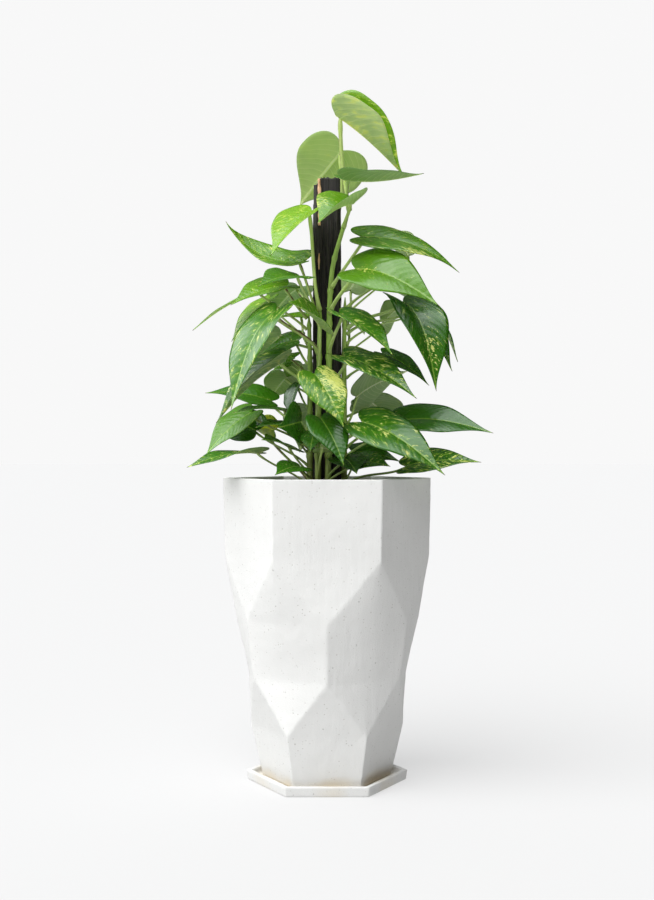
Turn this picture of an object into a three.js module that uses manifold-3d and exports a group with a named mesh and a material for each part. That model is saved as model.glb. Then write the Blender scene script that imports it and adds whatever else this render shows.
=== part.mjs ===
// A potted pothos: a six-sided faceted clay pot on a saucer, filled with soil, with a fibre post
// that five vines climb. Every leaf is a separate solid, blade and stalk in one.
// Millimetres, +Z up. The origin is the centre of the saucer's flat underside.

import * as THREE from "three";
import { mergeVertices } from "three/addons/utils/BufferGeometryUtils.js";
import Module from "manifold-3d";

const wasm = await Module();
wasm.setup();

// ---------------------------------------------------------------- driving dimensions

const FIT_GAP = 0.3;             // clearance between pieces that touch

const SAUCER_MARGIN = 17;        // how far its corners stand out beyond the pot's foot
const SAUCER_HEIGHT = 10;
const SAUCER_FLOOR = 4.7;
const SAUCER_WALL = 5;
const SAUCER_FLARE = 1.5;        // how much narrower the saucer is at its underside

const POT_HEIGHT = 300;
const POT_RIM_RADIUS = 105;      // every pot radius runs from the axis to a corner
const POT_COLLAR_TAPER = 1.8;    // how much narrower the pot is where the upright corner edges end
const POT_FOOT_RADIUS = 64.5;
const POT_SHOULDER_FLARE = 12.5; // how far the corners of the foot faces stand out beyond the foot
const COLLAR_DROP = 77;          // heights below the rim
const UPPER_POINT_DROP = 139;    // lowest point of each upper face
const LOWER_POINT_DROP = 195;    // highest point of each foot face
const SHOULDER_DROP = 249;
const POT_WALL = 9;
const POT_FLOOR = 14;
const DRAIN_RADIUS = 9;
const DRAIN_SIDES = 16;

const SOIL_DROP = 27;            // soil surface below the rim

const POLE_WIDTH = 27.5;
const POLE_DEPTH = 24;
const POLE_ABOVE_RIM = 303;
const POLE_IN_SOIL = 150;
const POLE_WORN = 2.5;           // what is worn off each long edge
const POLE_NOTCH = [6, 7];       // width and height of the broken corner at the top

const VINE_RADIUS = 3.2;
const VINE_IN_SOIL = 50;
const VINE_SIDES = 8;
const VINE_STEP = 20;            // length of one straight stretch of a vine
const VINE_SAMPLES = 200;        // points among which a leaf's node is looked for

const STALK_RADIUS = 1.5;
const STALK_SIDES = 4;
const STALK_STEPS = 4;
const STALK_OVERLAP = 4;         // how far a stalk runs on under its blade
const STALK_REACH = 0.35;        // how far a stalk keeps its first direction, as a share of its reach
const STALK_ARCH = 0.35;         // how much a stalk climbs on as it nears its blade

const BLADE_ROWS = 7;            // from the notch at the stalk to the tip
const BLADE_COLUMNS = 2;         // from the midrib to the margin
const LOBE_ROWS = 3;
const ROW_SLANT = 1.7;           // above 1, rows slant from the midrib towards the tip
const RIB_REACH = 0.36;          // how far the midrib keeps its first direction, as a share of the leaf
const MIDRIB_THICKNESS = 1.4;
const MARGIN_THICKNESS = 0.7;
const CREASE = 2.5;              // half width of the rounded crease along the midrib

// What a leaf has where its own line says nothing: angles in degrees, bend in radians.
const USUAL_LEAF = { fold: 15, rise: 15, droop: 10, twist: 0, bend: -0.35 };
const LEAF_HUE = 0.27;
const LEAF_SATURATION = 0.5;
const LEAF_LIGHTNESS = [0.26, 0.32, 0.38, 0.44];

const MERGE_DISTANCE = 1e-4;     // corners nearer than this are one corner

// ---------------------------------------------------------------- heights and helpers

const SAUCER_RADIUS = POT_FOOT_RADIUS + SAUCER_MARGIN;
const POT_COLLAR_RADIUS = POT_RIM_RADIUS - POT_COLLAR_TAPER;
const POT_SHOULDER_RADIUS = POT_FOOT_RADIUS + POT_SHOULDER_FLARE;
const POT_BASE = SAUCER_FLOOR + FIT_GAP;
const RIM = POT_BASE + POT_HEIGHT;
const SOIL_TOP = RIM - SOIL_DROP;
const HEX = 6;
const APOTHEM = Math.cos(Math.PI / HEX);
const UP = new THREE.Vector3(0, 0, 1);

const plant = new THREE.Group();

function finish(colour, roughness) {
  return new THREE.MeshStandardMaterial({ color: colour, roughness, metalness: 0, side: THREE.DoubleSide });
}

function addPiece(name, geometry, material) {
  const mesh = new THREE.Mesh(geometry, material);
  mesh.name = name;
  plant.add(mesh);
}

// A closed geometry as a solid, with its shared corners merged.
function solidOf(geometry) {
  const bare = geometry.clone();
  bare.deleteAttribute("normal");
  bare.deleteAttribute("uv");
  const merged = mergeVertices(bare, MERGE_DISTANCE);
  return new wasm.Manifold(new wasm.Mesh({
    numProp: 3,
    vertProperties: new Float32Array(merged.attributes.position.array),
    triVerts: new Uint32Array(merged.index.array),
  }));
}

function geometryOf(solid) {
  const mesh = solid.getMesh();
  const geometry = new THREE.BufferGeometry();
  geometry.setAttribute("position", new THREE.BufferAttribute(mesh.vertProperties, 3));
  geometry.setIndex(new THREE.BufferAttribute(mesh.triVerts, 1));
  geometry.computeVertexNormals();
  return geometry;
}

// A six-sided turned shape about Z, with corners on the X axis, from [radius, height] pairs.
function hexTurned(profile) {
  const points = profile.map(([radius, height]) => new THREE.Vector2(radius, height));
  const geometry = new THREE.LatheGeometry(points, HEX, Math.PI / HEX);
  geometry.rotateX(Math.PI / 2);
  return geometry;
}

// A round bar along a curve.
function bar(curve, radius, sides, steps) {
  const corners = [];
  for (let i = 0; i < sides; i += 1) {
    const turn = (i * 2 * Math.PI) / sides;
    corners.push(new THREE.Vector2(radius * Math.cos(turn), radius * Math.sin(turn)));
  }
  const section = new THREE.Shape(corners);
  return new THREE.ExtrudeGeometry(section, { steps, extrudePath: curve, bevelEnabled: false });
}

// ---------------------------------------------------------------- saucer

function makeSaucer() {
  const innerRadius = SAUCER_RADIUS - SAUCER_WALL / APOTHEM;
  return hexTurned([
    [0, 0],
    [SAUCER_RADIUS - SAUCER_FLARE, 0],
    [SAUCER_RADIUS, SAUCER_HEIGHT],
    [innerRadius, SAUCER_HEIGHT],
    [innerRadius - SAUCER_FLARE, SAUCER_FLOOR],
    [0, SAUCER_FLOOR],
  ]);
}

// ---------------------------------------------------------------- pot

// Where the plane of a face, set by two horizontal corner edges, stands at another drop.
function faceApothem(radiusA, dropA, radiusB, dropB, drop) {
  const share = (drop - dropA) / (dropB - dropA);
  return (radiusA + (radiusB - radiusA) * share) * APOTHEM;
}

function makePotOutside() {
  const upperPoint = faceApothem(POT_RIM_RADIUS, 0, POT_COLLAR_RADIUS, COLLAR_DROP, UPPER_POINT_DROP);
  const lowerPoint = faceApothem(
    POT_SHOULDER_RADIUS, SHOULDER_DROP, POT_FOOT_RADIUS, POT_HEIGHT, LOWER_POINT_DROP);
  const rings = [
    [POT_RIM_RADIUS, 0, 0],
    [POT_COLLAR_RADIUS, COLLAR_DROP, 0],
    [upperPoint, UPPER_POINT_DROP, 0.5],
    [lowerPoint, LOWER_POINT_DROP, 0.5],
    [POT_SHOULDER_RADIUS, SHOULDER_DROP, 0],
    [POT_FOOT_RADIUS, POT_HEIGHT, 0],
  ];
  const positions = [];
  for (const [radius, drop, offset] of rings) {
    for (let k = 0; k < HEX; k += 1) {
      const turn = ((k + offset) * 2 * Math.PI) / HEX;
      positions.push(radius * Math.cos(turn), radius * Math.sin(turn), RIM - drop);
    }
  }
  const corner = (ring, k) => ring * HEX + ((k + HEX) % HEX);
  const index = [];
  for (let k = 0; k < HEX; k += 1) {
    const [rim, rimNext] = [corner(0, k), corner(0, k + 1)];
    const [collar, collarNext] = [corner(1, k), corner(1, k + 1)];
    const [upper, upperBefore] = [corner(2, k), corner(2, k - 1)];
    const [lower, lowerBefore] = [corner(3, k), corner(3, k - 1)];
    const [shoulder, shoulderNext] = [corner(4, k), corner(4, k + 1)];
    const [foot, footNext] = [corner(5, k), corner(5, k + 1)];
    index.push(rim, collar, collarNext, rim, collarNext, rimNext);
    index.push(collar, upper, collarNext);
    index.push(collar, shoulder, upper, upper, shoulder, lower);
    index.push(collar, upperBefore, shoulder, upperBefore, lowerBefore, shoulder);
    index.push(lower, shoulder, shoulderNext);
    index.push(shoulder, foot, footNext, shoulder, footNext, shoulderNext);
  }
  for (let k = 1; k < HEX - 1; k += 1) {
    index.push(corner(0, 0), corner(0, k), corner(0, k + 1));
    index.push(corner(5, 0), corner(5, k + 1), corner(5, k));
  }
  const geometry = new THREE.BufferGeometry();
  geometry.setAttribute("position", new THREE.Float32BufferAttribute(positions, 3));
  geometry.setIndex(index);
  return geometry;
}

// Corner radius of the pot's hollow at the rim and at its floor.
const HOLLOW_TOP_RADIUS = POT_RIM_RADIUS - POT_WALL / APOTHEM;
const FOOT_SLOPE = (POT_SHOULDER_RADIUS - POT_FOOT_RADIUS) / (POT_HEIGHT - SHOULDER_DROP);
const HOLLOW_FLOOR_RADIUS = POT_FOOT_RADIUS + FOOT_SLOPE * POT_FLOOR - POT_WALL / APOTHEM;
const HOLLOW_FLOOR = POT_BASE + POT_FLOOR;

function hollowRadius(height) {
  const share = (height - HOLLOW_FLOOR) / (RIM - HOLLOW_FLOOR);
  return HOLLOW_FLOOR_RADIUS + (HOLLOW_TOP_RADIUS - HOLLOW_FLOOR_RADIUS) * share;
}

function makePot() {
  const above = RIM + POT_WALL;
  const hollow = hexTurned([
    [0, HOLLOW_FLOOR],
    [HOLLOW_FLOOR_RADIUS, HOLLOW_FLOOR],
    [hollowRadius(above), above],
    [0, above],
  ]);
  const cutLength = 4 * POT_FLOOR;
  const drain = new THREE.CylinderGeometry(DRAIN_RADIUS, DRAIN_RADIUS, cutLength, DRAIN_SIDES);
  drain.rotateX(Math.PI / 2);
  drain.translate(0, 0, HOLLOW_FLOOR);
  return geometryOf(solidOf(makePotOutside()).subtract(solidOf(hollow)).subtract(solidOf(drain)));
}

// ---------------------------------------------------------------- fibre post

const POLE_TOP = RIM + POLE_ABOVE_RIM;
const POLE_FOOT = SOIL_TOP - POLE_IN_SOIL;

// The sawn section, with its corners worn off, made larger all round by grow.
function poleSection(grow) {
  const x = POLE_WIDTH / 2 + grow;
  const y = POLE_DEPTH / 2 + grow;
  return new THREE.Shape([
    new THREE.Vector2(x - POLE_WORN, -y),
    new THREE.Vector2(x, POLE_WORN - y),
    new THREE.Vector2(x, y - POLE_WORN),
    new THREE.Vector2(x - POLE_WORN, y),
    new THREE.Vector2(POLE_WORN - x, y),
    new THREE.Vector2(-x, y - POLE_WORN),
    new THREE.Vector2(-x, POLE_WORN - y),
    new THREE.Vector2(POLE_WORN - x, -y),
  ]);
}

function poleBody(grow, foot, top) {
  const geometry = new THREE.ExtrudeGeometry(poleSection(grow), { depth: top - foot, bevelEnabled: false });
  geometry.translate(0, 0, foot);
  return geometry;
}

function makePole() {
  const [notchWidth, notchHeight] = POLE_NOTCH;
  const notch = new THREE.BoxGeometry(2 * notchWidth, 2 * POLE_DEPTH, 2 * notchHeight);
  notch.translate(-POLE_WIDTH / 2, -POLE_DEPTH, POLE_TOP);
  return geometryOf(solidOf(poleBody(0, POLE_FOOT, POLE_TOP)).subtract(solidOf(notch)));
}

// ---------------------------------------------------------------- vines

// Distance from the post's axis to a vine that lies on its front or back, or on its side.
const ON_FACE = POLE_DEPTH / 2 + FIT_GAP + VINE_RADIUS;
const ON_SIDE = POLE_WIDTH / 2 + FIT_GAP + VINE_RADIUS;

// The same distances where the leaf positions were taken; a leaf moves out with its vine from there.
const DRAWN_ON_FACE = 15.5;
const DRAWN_ON_SIDE = 17.25;

// Where the upper end of the tallest front vine leans past the post's edge.
const LEAN = POLE_WIDTH / 2 + 1.25;
const LEAN_TIP = POLE_WIDTH / 2 + 10.25;

// Each vine: the way it faces, and points [x, y, height above the rim] from the soil upwards.
const VINES = {
  front_left: { faces: [0, -1], route: [
    [-9, -ON_FACE, 0], [-9, -ON_FACE, 50], [-8, -ON_FACE, 100], [-7.5, -ON_FACE, 140],
    [-6.5, -ON_FACE - 1, 172],
  ] },
  front_right: { faces: [0, -1], route: [
    [1, -ON_FACE, 0], [2, -ON_FACE, 60], [2, -ON_FACE, 130], [3, -ON_FACE, 180], [6, -ON_FACE - 2, 212],
    [LEAN, -ON_FACE - 4, 245], [LEAN_TIP, -ON_FACE - 4, 272],
  ] },
  left: { faces: [-1, 0], route: [
    [-ON_SIDE, -3, 0], [-ON_SIDE, -4, 60], [-ON_SIDE, -3, 120], [-ON_SIDE - 1, -5, 165],
  ] },
  right: { faces: [1, 0], route: [
    [ON_SIDE, 0, 0], [ON_SIDE, -2, 60], [ON_SIDE, -1, 130], [ON_SIDE + 1, -3, 182],
  ] },
  back: { faces: [0, 1], route: [
    [-2, ON_FACE, 0], [0, ON_FACE, 80], [2, ON_FACE, 160], [5, ON_FACE, 230], [8, ON_FACE + 1, 268],
  ] },
};

function vineCurve(vine) {
  const points = vine.route.map(([x, y, above]) => new THREE.Vector3(x, y, RIM + above));
  const foot = points[0].clone();
  foot.z = SOIL_TOP - VINE_IN_SOIL;
  return new THREE.CatmullRomCurve3([foot, ...points], false, "centripetal");
}

function vineBar(vine, grow) {
  const curve = vineCurve(vine);
  return bar(curve, VINE_RADIUS + grow, VINE_SIDES, Math.round(curve.getLength() / VINE_STEP));
}

// The point of a vine's middle line at a height above the rim.
function vinePoint(vine, above) {
  const samples = vineCurve(vine).getPoints(VINE_SAMPLES);
  const height = RIM + above;
  return samples.reduce((best, p) => (Math.abs(p.z - height) < Math.abs(best.z - height) ? p : best));
}

// ---------------------------------------------------------------- soil

function makeSoil() {
  const bottom = HOLLOW_FLOOR + FIT_GAP;
  const body = hexTurned([
    [0, bottom],
    [hollowRadius(bottom) - FIT_GAP / APOTHEM, bottom],
    [hollowRadius(SOIL_TOP) - FIT_GAP / APOTHEM, SOIL_TOP],
    [0, SOIL_TOP],
  ]);
  let soil = solidOf(body).subtract(solidOf(poleBody(FIT_GAP, POLE_FOOT - FIT_GAP, RIM)));
  for (const vine of Object.values(VINES)) {
    const socket = solidOf(vineBar(vine, FIT_GAP));
    soil = soil.subtract(socket).subtract(socket.translate(0, 0, -FIT_GAP));
  }
  return geometryOf(soil);
}

// ---------------------------------------------------------------- leaves

// Half of a flat leaf, notch at 0 and tip at 1 along it, 0 on the midrib and 1 at the widest.
function edgeCurve(...points) {
  return new THREE.CubicBezierCurve(...points.map(([along, across]) => new THREE.Vector2(along, across)));
}
const LOBE_EDGE = edgeCurve([0, 0], [-0.22, 0.42], [-0.12, 1], [0.25, 1]);
const TIP_EDGE = edgeCurve([0.25, 1], [0.58, 1], [0.74, 0.16], [1, 0]);

// A point of the flat half leaf: row 0 at the notch, 1 at the tip; column 0 at the midrib, 1 at the margin.
function flatPoint(row, column) {
  const lobeShare = LOBE_ROWS / BLADE_ROWS;
  const edge = row < lobeShare
    ? LOBE_EDGE.getPoint(row / lobeShare)
    : TIP_EDGE.getPoint((row - lobeShare) / (1 - lobeShare));
  const rib = Math.pow(row, ROW_SLANT);
  return { along: rib + (edge.x - rib) * column, across: edge.y * column };
}

// The line that a leaf's midrib takes, and the directions at its stalk end.
function leafFrame(leaf) {
  const [faceX, faceY] = VINES[leaf.vine].faces;
  const shift = new THREE.Vector3(faceX * (ON_SIDE - DRAWN_ON_SIDE), faceY * (ON_FACE - DRAWN_ON_FACE), RIM);
  const base = new THREE.Vector3(...leaf.base).add(shift);
  const tip = new THREE.Vector3(...leaf.tip).add(shift);
  const length = base.distanceTo(tip);
  const chord = tip.clone().sub(base).normalize();
  const normal = new THREE.Vector3(...leaf.faces);
  normal.addScaledVector(chord, -normal.dot(chord)).normalize();
  const side = chord.clone().cross(normal);
  const start = chord.clone().applyAxisAngle(side, THREE.MathUtils.degToRad(leaf.rise));
  const end = chord.clone().applyAxisAngle(side, -THREE.MathUtils.degToRad(leaf.droop));
  const reach = length * RIB_REACH;
  const rib = new THREE.CubicBezierCurve3(
    base, base.clone().addScaledVector(start, reach), tip.clone().addScaledVector(end, -reach), tip);
  return { base, length, side, start, rib };
}

// A point of the leaf in space, and the way its upper face looks there.
function bladePoint(leaf, frame, along, across) {
  const share = Math.max(0, along);
  const ribPoint = frame.rib.getPoint(share);
  const tangent = frame.rib.getTangent(share);
  if (along < 0) {
    ribPoint.addScaledVector(tangent, along * frame.length);
  }
  const twist = THREE.MathUtils.degToRad(leaf.twist) * share;
  const side = frame.side.clone().applyAxisAngle(tangent, twist);
  const normal = side.clone().cross(tangent);
  const half = leaf.width / 2;
  const out = Math.abs(across);
  const crease = (out * half) / Math.hypot(out * half, CREASE);
  const fold = THREE.MathUtils.degToRad(leaf.fold) * crease;
  const curl = leaf.bend * out;
  const flatX = (half * Math.sin(curl)) / leaf.bend;
  const flatZ = (half * (1 - Math.cos(curl))) / leaf.bend;
  const x = Math.sign(across) * (flatX * Math.cos(fold) - flatZ * Math.sin(fold));
  const z = flatX * Math.sin(fold) + flatZ * Math.cos(fold);
  const tilt = fold + curl;
  const point = ribPoint.addScaledVector(side, x).addScaledVector(normal, z);
  const lean = -Math.sign(across) * Math.sin(tilt);
  const upper = normal.multiplyScalar(Math.cos(tilt)).addScaledVector(side, lean);
  return { point, upper };
}

// The blade as a closed shell: an upper and a lower sheet that meet round the margin.
function makeBlade(leaf, frame) {
  const positions = [];
  const index = [];
  const wide = 2 * BLADE_COLUMNS;
  const addVertex = (row, column, sheet) => {
    const flat = flatPoint(row / BLADE_ROWS, Math.abs(column) / BLADE_COLUMNS);
    const { point, upper } = bladePoint(leaf, frame, flat.along, Math.sign(column) * flat.across);
    const share = Math.abs(column) / BLADE_COLUMNS;
    const thickness = MIDRIB_THICKNESS + (MARGIN_THICKNESS - MIDRIB_THICKNESS) * share;
    point.addScaledVector(upper, (sheet * thickness) / 2);
    positions.push(point.x, point.y, point.z);
    return positions.length / 3 - 1;
  };
  const addSheet = (sheet) => {
    const rows = [Array(wide + 1).fill(addVertex(0, 0, sheet))];
    for (let row = 1; row < BLADE_ROWS; row += 1) {
      const line = [];
      for (let column = -BLADE_COLUMNS; column <= BLADE_COLUMNS; column += 1) {
        line.push(addVertex(row, column, sheet));
      }
      rows.push(line);
    }
    rows.push(Array(wide + 1).fill(addVertex(BLADE_ROWS, 0, sheet)));
    return rows;
  };
  const addFace = (a, b, c) => {
    if (a !== b && b !== c && c !== a) {
      index.push(a, b, c);
    }
  };
  const top = addSheet(1);
  const under = addSheet(-1);
  for (let row = 0; row < BLADE_ROWS; row += 1) {
    for (let j = 0; j < wide; j += 1) {
      addFace(top[row][j], top[row][j + 1], top[row + 1][j + 1]);
      addFace(top[row][j], top[row + 1][j + 1], top[row + 1][j]);
      addFace(under[row][j], under[row + 1][j + 1], under[row][j + 1]);
      addFace(under[row][j], under[row + 1][j], under[row + 1][j + 1]);
    }
    addFace(top[row][0], top[row + 1][0], under[row + 1][0]);
    addFace(top[row][0], under[row + 1][0], under[row][0]);
    addFace(top[row][wide], under[row + 1][wide], top[row + 1][wide]);
    addFace(top[row][wide], under[row][wide], under[row + 1][wide]);
  }
  const geometry = new THREE.BufferGeometry();
  geometry.setAttribute("position", new THREE.Float32BufferAttribute(positions, 3));
  geometry.setIndex(index);
  return geometry;
}

// The stalk leaves its vine outwards and upwards, and ends under the blade.
function stalkCurve(leaf, frame) {
  const vine = VINES[leaf.vine];
  const node = vinePoint(vine, leaf.from);
  const towards = new THREE.Vector3(frame.base.x - node.x, frame.base.y - node.y, 0).normalize();
  const away = leaf.away
    ? new THREE.Vector3(...leaf.away, 0).normalize()
    : towards.add(new THREE.Vector3(...vine.faces, 0)).normalize();
  const start = node.clone().addScaledVector(away, VINE_RADIUS + FIT_GAP + STALK_RADIUS);
  const reach = start.distanceTo(frame.base);
  const leave = away.clone().add(UP).normalize();
  const arrive = frame.base.clone().sub(start).normalize().addScaledVector(UP, STALK_ARCH).normalize();
  return new THREE.CubicBezierCurve3(
    start,
    start.clone().addScaledVector(leave, reach * STALK_REACH),
    frame.base.clone().addScaledVector(arrive, -reach * STALK_REACH),
    frame.base.clone().addScaledVector(frame.start, STALK_OVERLAP));
}

function makeLeaf(given) {
  const leaf = { ...USUAL_LEAF, ...given };
  const frame = leafFrame(leaf);
  const stalk = bar(stalkCurve(leaf, frame), STALK_RADIUS, STALK_SIDES, STALK_STEPS);
  return geometryOf(solidOf(makeBlade(leaf, frame)).add(solidOf(stalk)));
}

// Each leaf: its vine, the height of its node, the notch end and the tip of its blade, its width
// and the way its upper face looks. Heights are above the rim. fold raises both halves, rise and
// droop curve the midrib at its ends, twist turns the tip, bend curls the halves, and away is the
// side of the vine that the stalk leaves from where it isn't the nearest one.
const LEAVES = [
  // the crown
  { vine: "front_right", from: 268, base: [10, -10, 364], tip: [78, -12, 302], width: 66,
    faces: [0.66, -0.26, 0.71], fold: 60, rise: 8, droop: 5, bend: -0.2, away: [-0.2, 1] },
  { vine: "back", from: 262, base: [16, 22, 336], tip: [-29, 50, 284], width: 68,
    faces: [-0.2, 0.9, 0.3], fold: 8 },
  { vine: "front_right", from: 266, base: [17, -38, 294], tip: [96, -28, 302], width: 50,
    faces: [0, -0.05, 1], fold: 28, rise: -12, droop: -8 },
  { vine: "front_right", from: 250, base: [25, -46, 269], tip: [-9, -82, 243], width: 54,
    faces: [-0.45, -0.62, 0.65], fold: 42 },
  { vine: "front_left", from: 168, base: [-15, -28, 264], tip: [-54, -66, 215], width: 54,
    faces: [-0.56, -0.63, 0.54], fold: 26 },
  // upper left
  { vine: "front_left", from: 160, base: [-24, -25, 215], tip: [-100, -30, 254], width: 45,
    faces: [-0.1, -0.5, 0.85], fold: 22, rise: -40, droop: -38 },
  { vine: "front_left", from: 152, base: [-27, -47, 197], tip: [-65, -92, 182], width: 44,
    faces: [0, -0.45, 0.9], fold: 18 },
  { vine: "left", from: 160, base: [-40, -24, 191], tip: [-94, -50, 169], width: 50,
    faces: [-0.2, -0.5, 0.8], fold: 20 },
  { vine: "left", from: 150, base: [-66, -8, 188], tip: [-135, -10, 148], width: 45,
    faces: [-0.3, -0.1, 0.95], fold: 12 },
  { vine: "left", from: 138, base: [-60, 26, 184], tip: [-97, 4, 138], width: 40,
    faces: [-0.6, -0.4, 0.5], fold: 15 },
  // left, middle height
  { vine: "front_left", from: 125, base: [-50, -60, 162], tip: [-91, -84, 66], width: 74,
    faces: [-0.73, -0.57, 0.37], fold: 15, rise: 28, droop: 10 },
  { vine: "front_left", from: 80, base: [-43, -42, 115], tip: [-108, -52, 54], width: 55,
    faces: [-0.5, -0.3, 0.8], fold: 38 },
  { vine: "front_left", from: 108, base: [-6, -50, 148], tip: [-37, -92, 168], width: 44,
    faces: [0.43, -0.48, 0.76], fold: 28 },
  // right, middle height
  { vine: "front_right", from: 125, base: [13, -45, 161], tip: [63, -78, 118], width: 50,
    faces: [0.5, -0.5, 0.7], fold: 22 },
  { vine: "front_right", from: 85, base: [19, -47, 119], tip: [86, -72, 77], width: 52,
    faces: [0.4, -0.56, 0.72], fold: 18 },
  { vine: "front_right", from: 165, base: [28, -46, 205], tip: [108, -63, 167], width: 68,
    faces: [0.28, -0.74, 0.61], fold: 17, rise: 28, droop: 15 },
  { vine: "front_right", from: 190, base: [35, -24, 240], tip: [133, -10, 206], width: 54,
    faces: [0.25, 0.05, 0.95], fold: 25, rise: 22, droop: 20 },
  { vine: "right", from: 160, base: [24, 30, 193], tip: [38, 60, 228], width: 40,
    faces: [0.3, 0.85, 0.4], fold: 12 },
  { vine: "right", from: 132, base: [20, 22, 168], tip: [40, 62, 150], width: 44,
    faces: [-0.1, -0.5, 0.85], fold: 14 },
  { vine: "right", from: 124, base: [58, 34, 160], tip: [84, 68, 184], width: 36,
    faces: [0.2, 0.8, 0.5], fold: 12 },
  { vine: "right", from: 150, base: [76, -15, 176], tip: [106, -55, 85], width: 62,
    faces: [0.5, -0.75, 0.4], fold: 24, rise: 38, droop: 15 },
  { vine: "right", from: 145, base: [84, 14, 172], tip: [126, -8, 107], width: 50,
    faces: [0.7, -0.5, 0.5], fold: 20, rise: 25 },
  { vine: "right", from: 135, base: [104, 52, 182], tip: [137, 46, 120], width: 38,
    faces: [0.85, -0.15, 0.5], fold: 20 },
  // right, low
  { vine: "right", from: 100, base: [57, 5, 126], tip: [103, -5, 93], width: 46,
    faces: [0.1, -0.3, 0.95], fold: 14 },
  { vine: "right", from: 54, base: [29, -4, 82], tip: [84, 32, 110], width: 46,
    faces: [-0.2, 0.75, 0.6], fold: 10 },
  { vine: "right", from: 30, base: [48, 16, 56], tip: [90, 54, 40], width: 50,
    faces: [0.05, -0.55, 0.83], fold: 12 },
  { vine: "front_right", from: 22, base: [34, -62, 55], tip: [112, -82, 4], width: 62,
    faces: [0.38, -0.67, 0.64], fold: 13, rise: 22, droop: 12 },
  { vine: "right", from: 22, base: [75, -5, 58], tip: [167, -10, 45], width: 50,
    faces: [0.1, -0.6, 0.75], fold: 15, rise: 20 },
  { vine: "right", from: -8, base: [79, -20, 12], tip: [152, -35, 16], width: 46,
    faces: [0.1, -0.5, 0.85], fold: 15 },
  { vine: "front_right", from: -4, base: [28, -26, 16], tip: [62, -45, 12], width: 40,
    faces: [0, -0.5, 0.85], fold: 15 },
  // front, low
  { vine: "front_left", from: 62, base: [-12, -70, 101], tip: [16, -92, 49], width: 46,
    faces: [0.35, -0.8, 0.45], fold: 12 },
  { vine: "front_left", from: 20, base: [-6, -72, 58], tip: [16, -95, 13], width: 42,
    faces: [0.5, -0.8, 0.3], fold: 12 },
  { vine: "front_left", from: 30, base: [-25, -40, 56], tip: [-47, -85, 49], width: 42,
    faces: [0.8, -0.55, 0.15], fold: 10 },
  // left, low
  { vine: "left", from: -8, base: [-67, -25, 26], tip: [-137, -45, 11], width: 38,
    faces: [0.2, 0.3, 0.9], fold: 15, twist: -60 },
  { vine: "left", from: 30, base: [-76, -8, 66], tip: [-121, -24, 22], width: 44,
    faces: [-0.5, -0.6, 0.5], fold: 16 },
  { vine: "left", from: 42, base: [-58, 29, 79], tip: [-126, 29, 87], width: 46,
    faces: [-0.1, -0.45, 0.9], fold: 16 },
  { vine: "front_left", from: 34, base: [-40, -32, 67], tip: [-90, -64, 64], width: 42,
    faces: [0, -0.15, 1], fold: 12 },
  { vine: "back", from: 70, base: [-42, 42, 105], tip: [-62, 62, 79], width: 40,
    faces: [-0.35, 0.8, 0.45], fold: 12 },
  { vine: "left", from: 70, base: [-29, 9, 95], tip: [-37, -6, 62], width: 36,
    faces: [-0.75, -0.35, 0.3], fold: 20 },
  { vine: "left", from: -2, base: [-60, 17, 43], tip: [-80, 11, 55], width: 46,
    faces: [-0.3, -0.6, 0.7], fold: 5, bend: 2, away: [-1, 0.7] },
  { vine: "left", from: 6, base: [-37, -6, 30], tip: [-64, -46, 38], width: 42,
    faces: [0.05, -0.45, 0.9], fold: 14 },
  { vine: "front_left", from: -8, base: [-26, -40, 12], tip: [-50, -74, 4], width: 34,
    faces: [0, -0.5, 0.85], fold: 12 },
  // left, behind
  { vine: "left", from: 134, base: [-24, 34, 166], tip: [-57, 54, 166], width: 40,
    faces: [0, -0.25, 0.97], fold: 14 },
  { vine: "left", from: 114, base: [-30, 15, 140], tip: [-69, 35, 127], width: 44,
    faces: [-0.1, -0.5, 0.85], fold: 14 },
  { vine: "left", from: 104, base: [-34, -8, 121], tip: [-69, 4, 112], width: 38,
    faces: [0, -0.3, 0.95], fold: 14 },
  // behind the post
  { vine: "right", from: 172, base: [62, 40, 213], tip: [100, 74, 180], width: 52,
    faces: [0.3, 0.5, 0.8], fold: 16, rise: 20 },
  { vine: "back", from: 120, base: [-48, 54, 150], tip: [-86, 88, 100], width: 54,
    faces: [-0.4, 0.7, 0.5], fold: 16, rise: 20 },
  { vine: "back", from: 45, base: [45, 50, 80], tip: [80, 94, 40], width: 54,
    faces: [0.3, 0.7, 0.5], fold: 14, rise: 20 },
  { vine: "back", from: 35, base: [-15, 50, 70], tip: [-30, 98, 25], width: 56,
    faces: [-0.1, 0.8, 0.5], fold: 14, rise: 20 },
  { vine: "back", from: 155, base: [-30, 46, 198], tip: [-62, 84, 168], width: 50,
    faces: [-0.3, 0.5, 0.8], fold: 14, rise: 20 },
  { vine: "back", from: 5, base: [60, 50, 35], tip: [110, 80, 8], width: 50,
    faces: [0.4, 0.4, 0.8], fold: 14, rise: 20 },
];

// ---------------------------------------------------------------- assembly

const clay = () => finish(0xe9e8e5, 0.9);
const stemGreen = () => finish(0x6f8f3a, 0.55);

addPiece("saucer", makeSaucer(), clay());
addPiece("pot", makePot(), clay());
addPiece("soil", makeSoil(), finish(0x2e241b, 1));
addPiece("support_pole", makePole(), finish(0x1c1a18, 0.95));
for (const [name, vine] of Object.entries(VINES)) {
  addPiece(`vine_${name}`, vineBar(vine, 0), stemGreen());
}
LEAVES.forEach((leaf, i) => {
  const lightness = LEAF_LIGHTNESS[i % LEAF_LIGHTNESS.length];
  const colour = new THREE.Color().setHSL(LEAF_HUE, LEAF_SATURATION, lightness);
  addPiece(`leaf_${String(i + 1).padStart(2, "0")}`, makeLeaf(leaf), finish(colour, 0.4));
});

export default plant;
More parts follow.
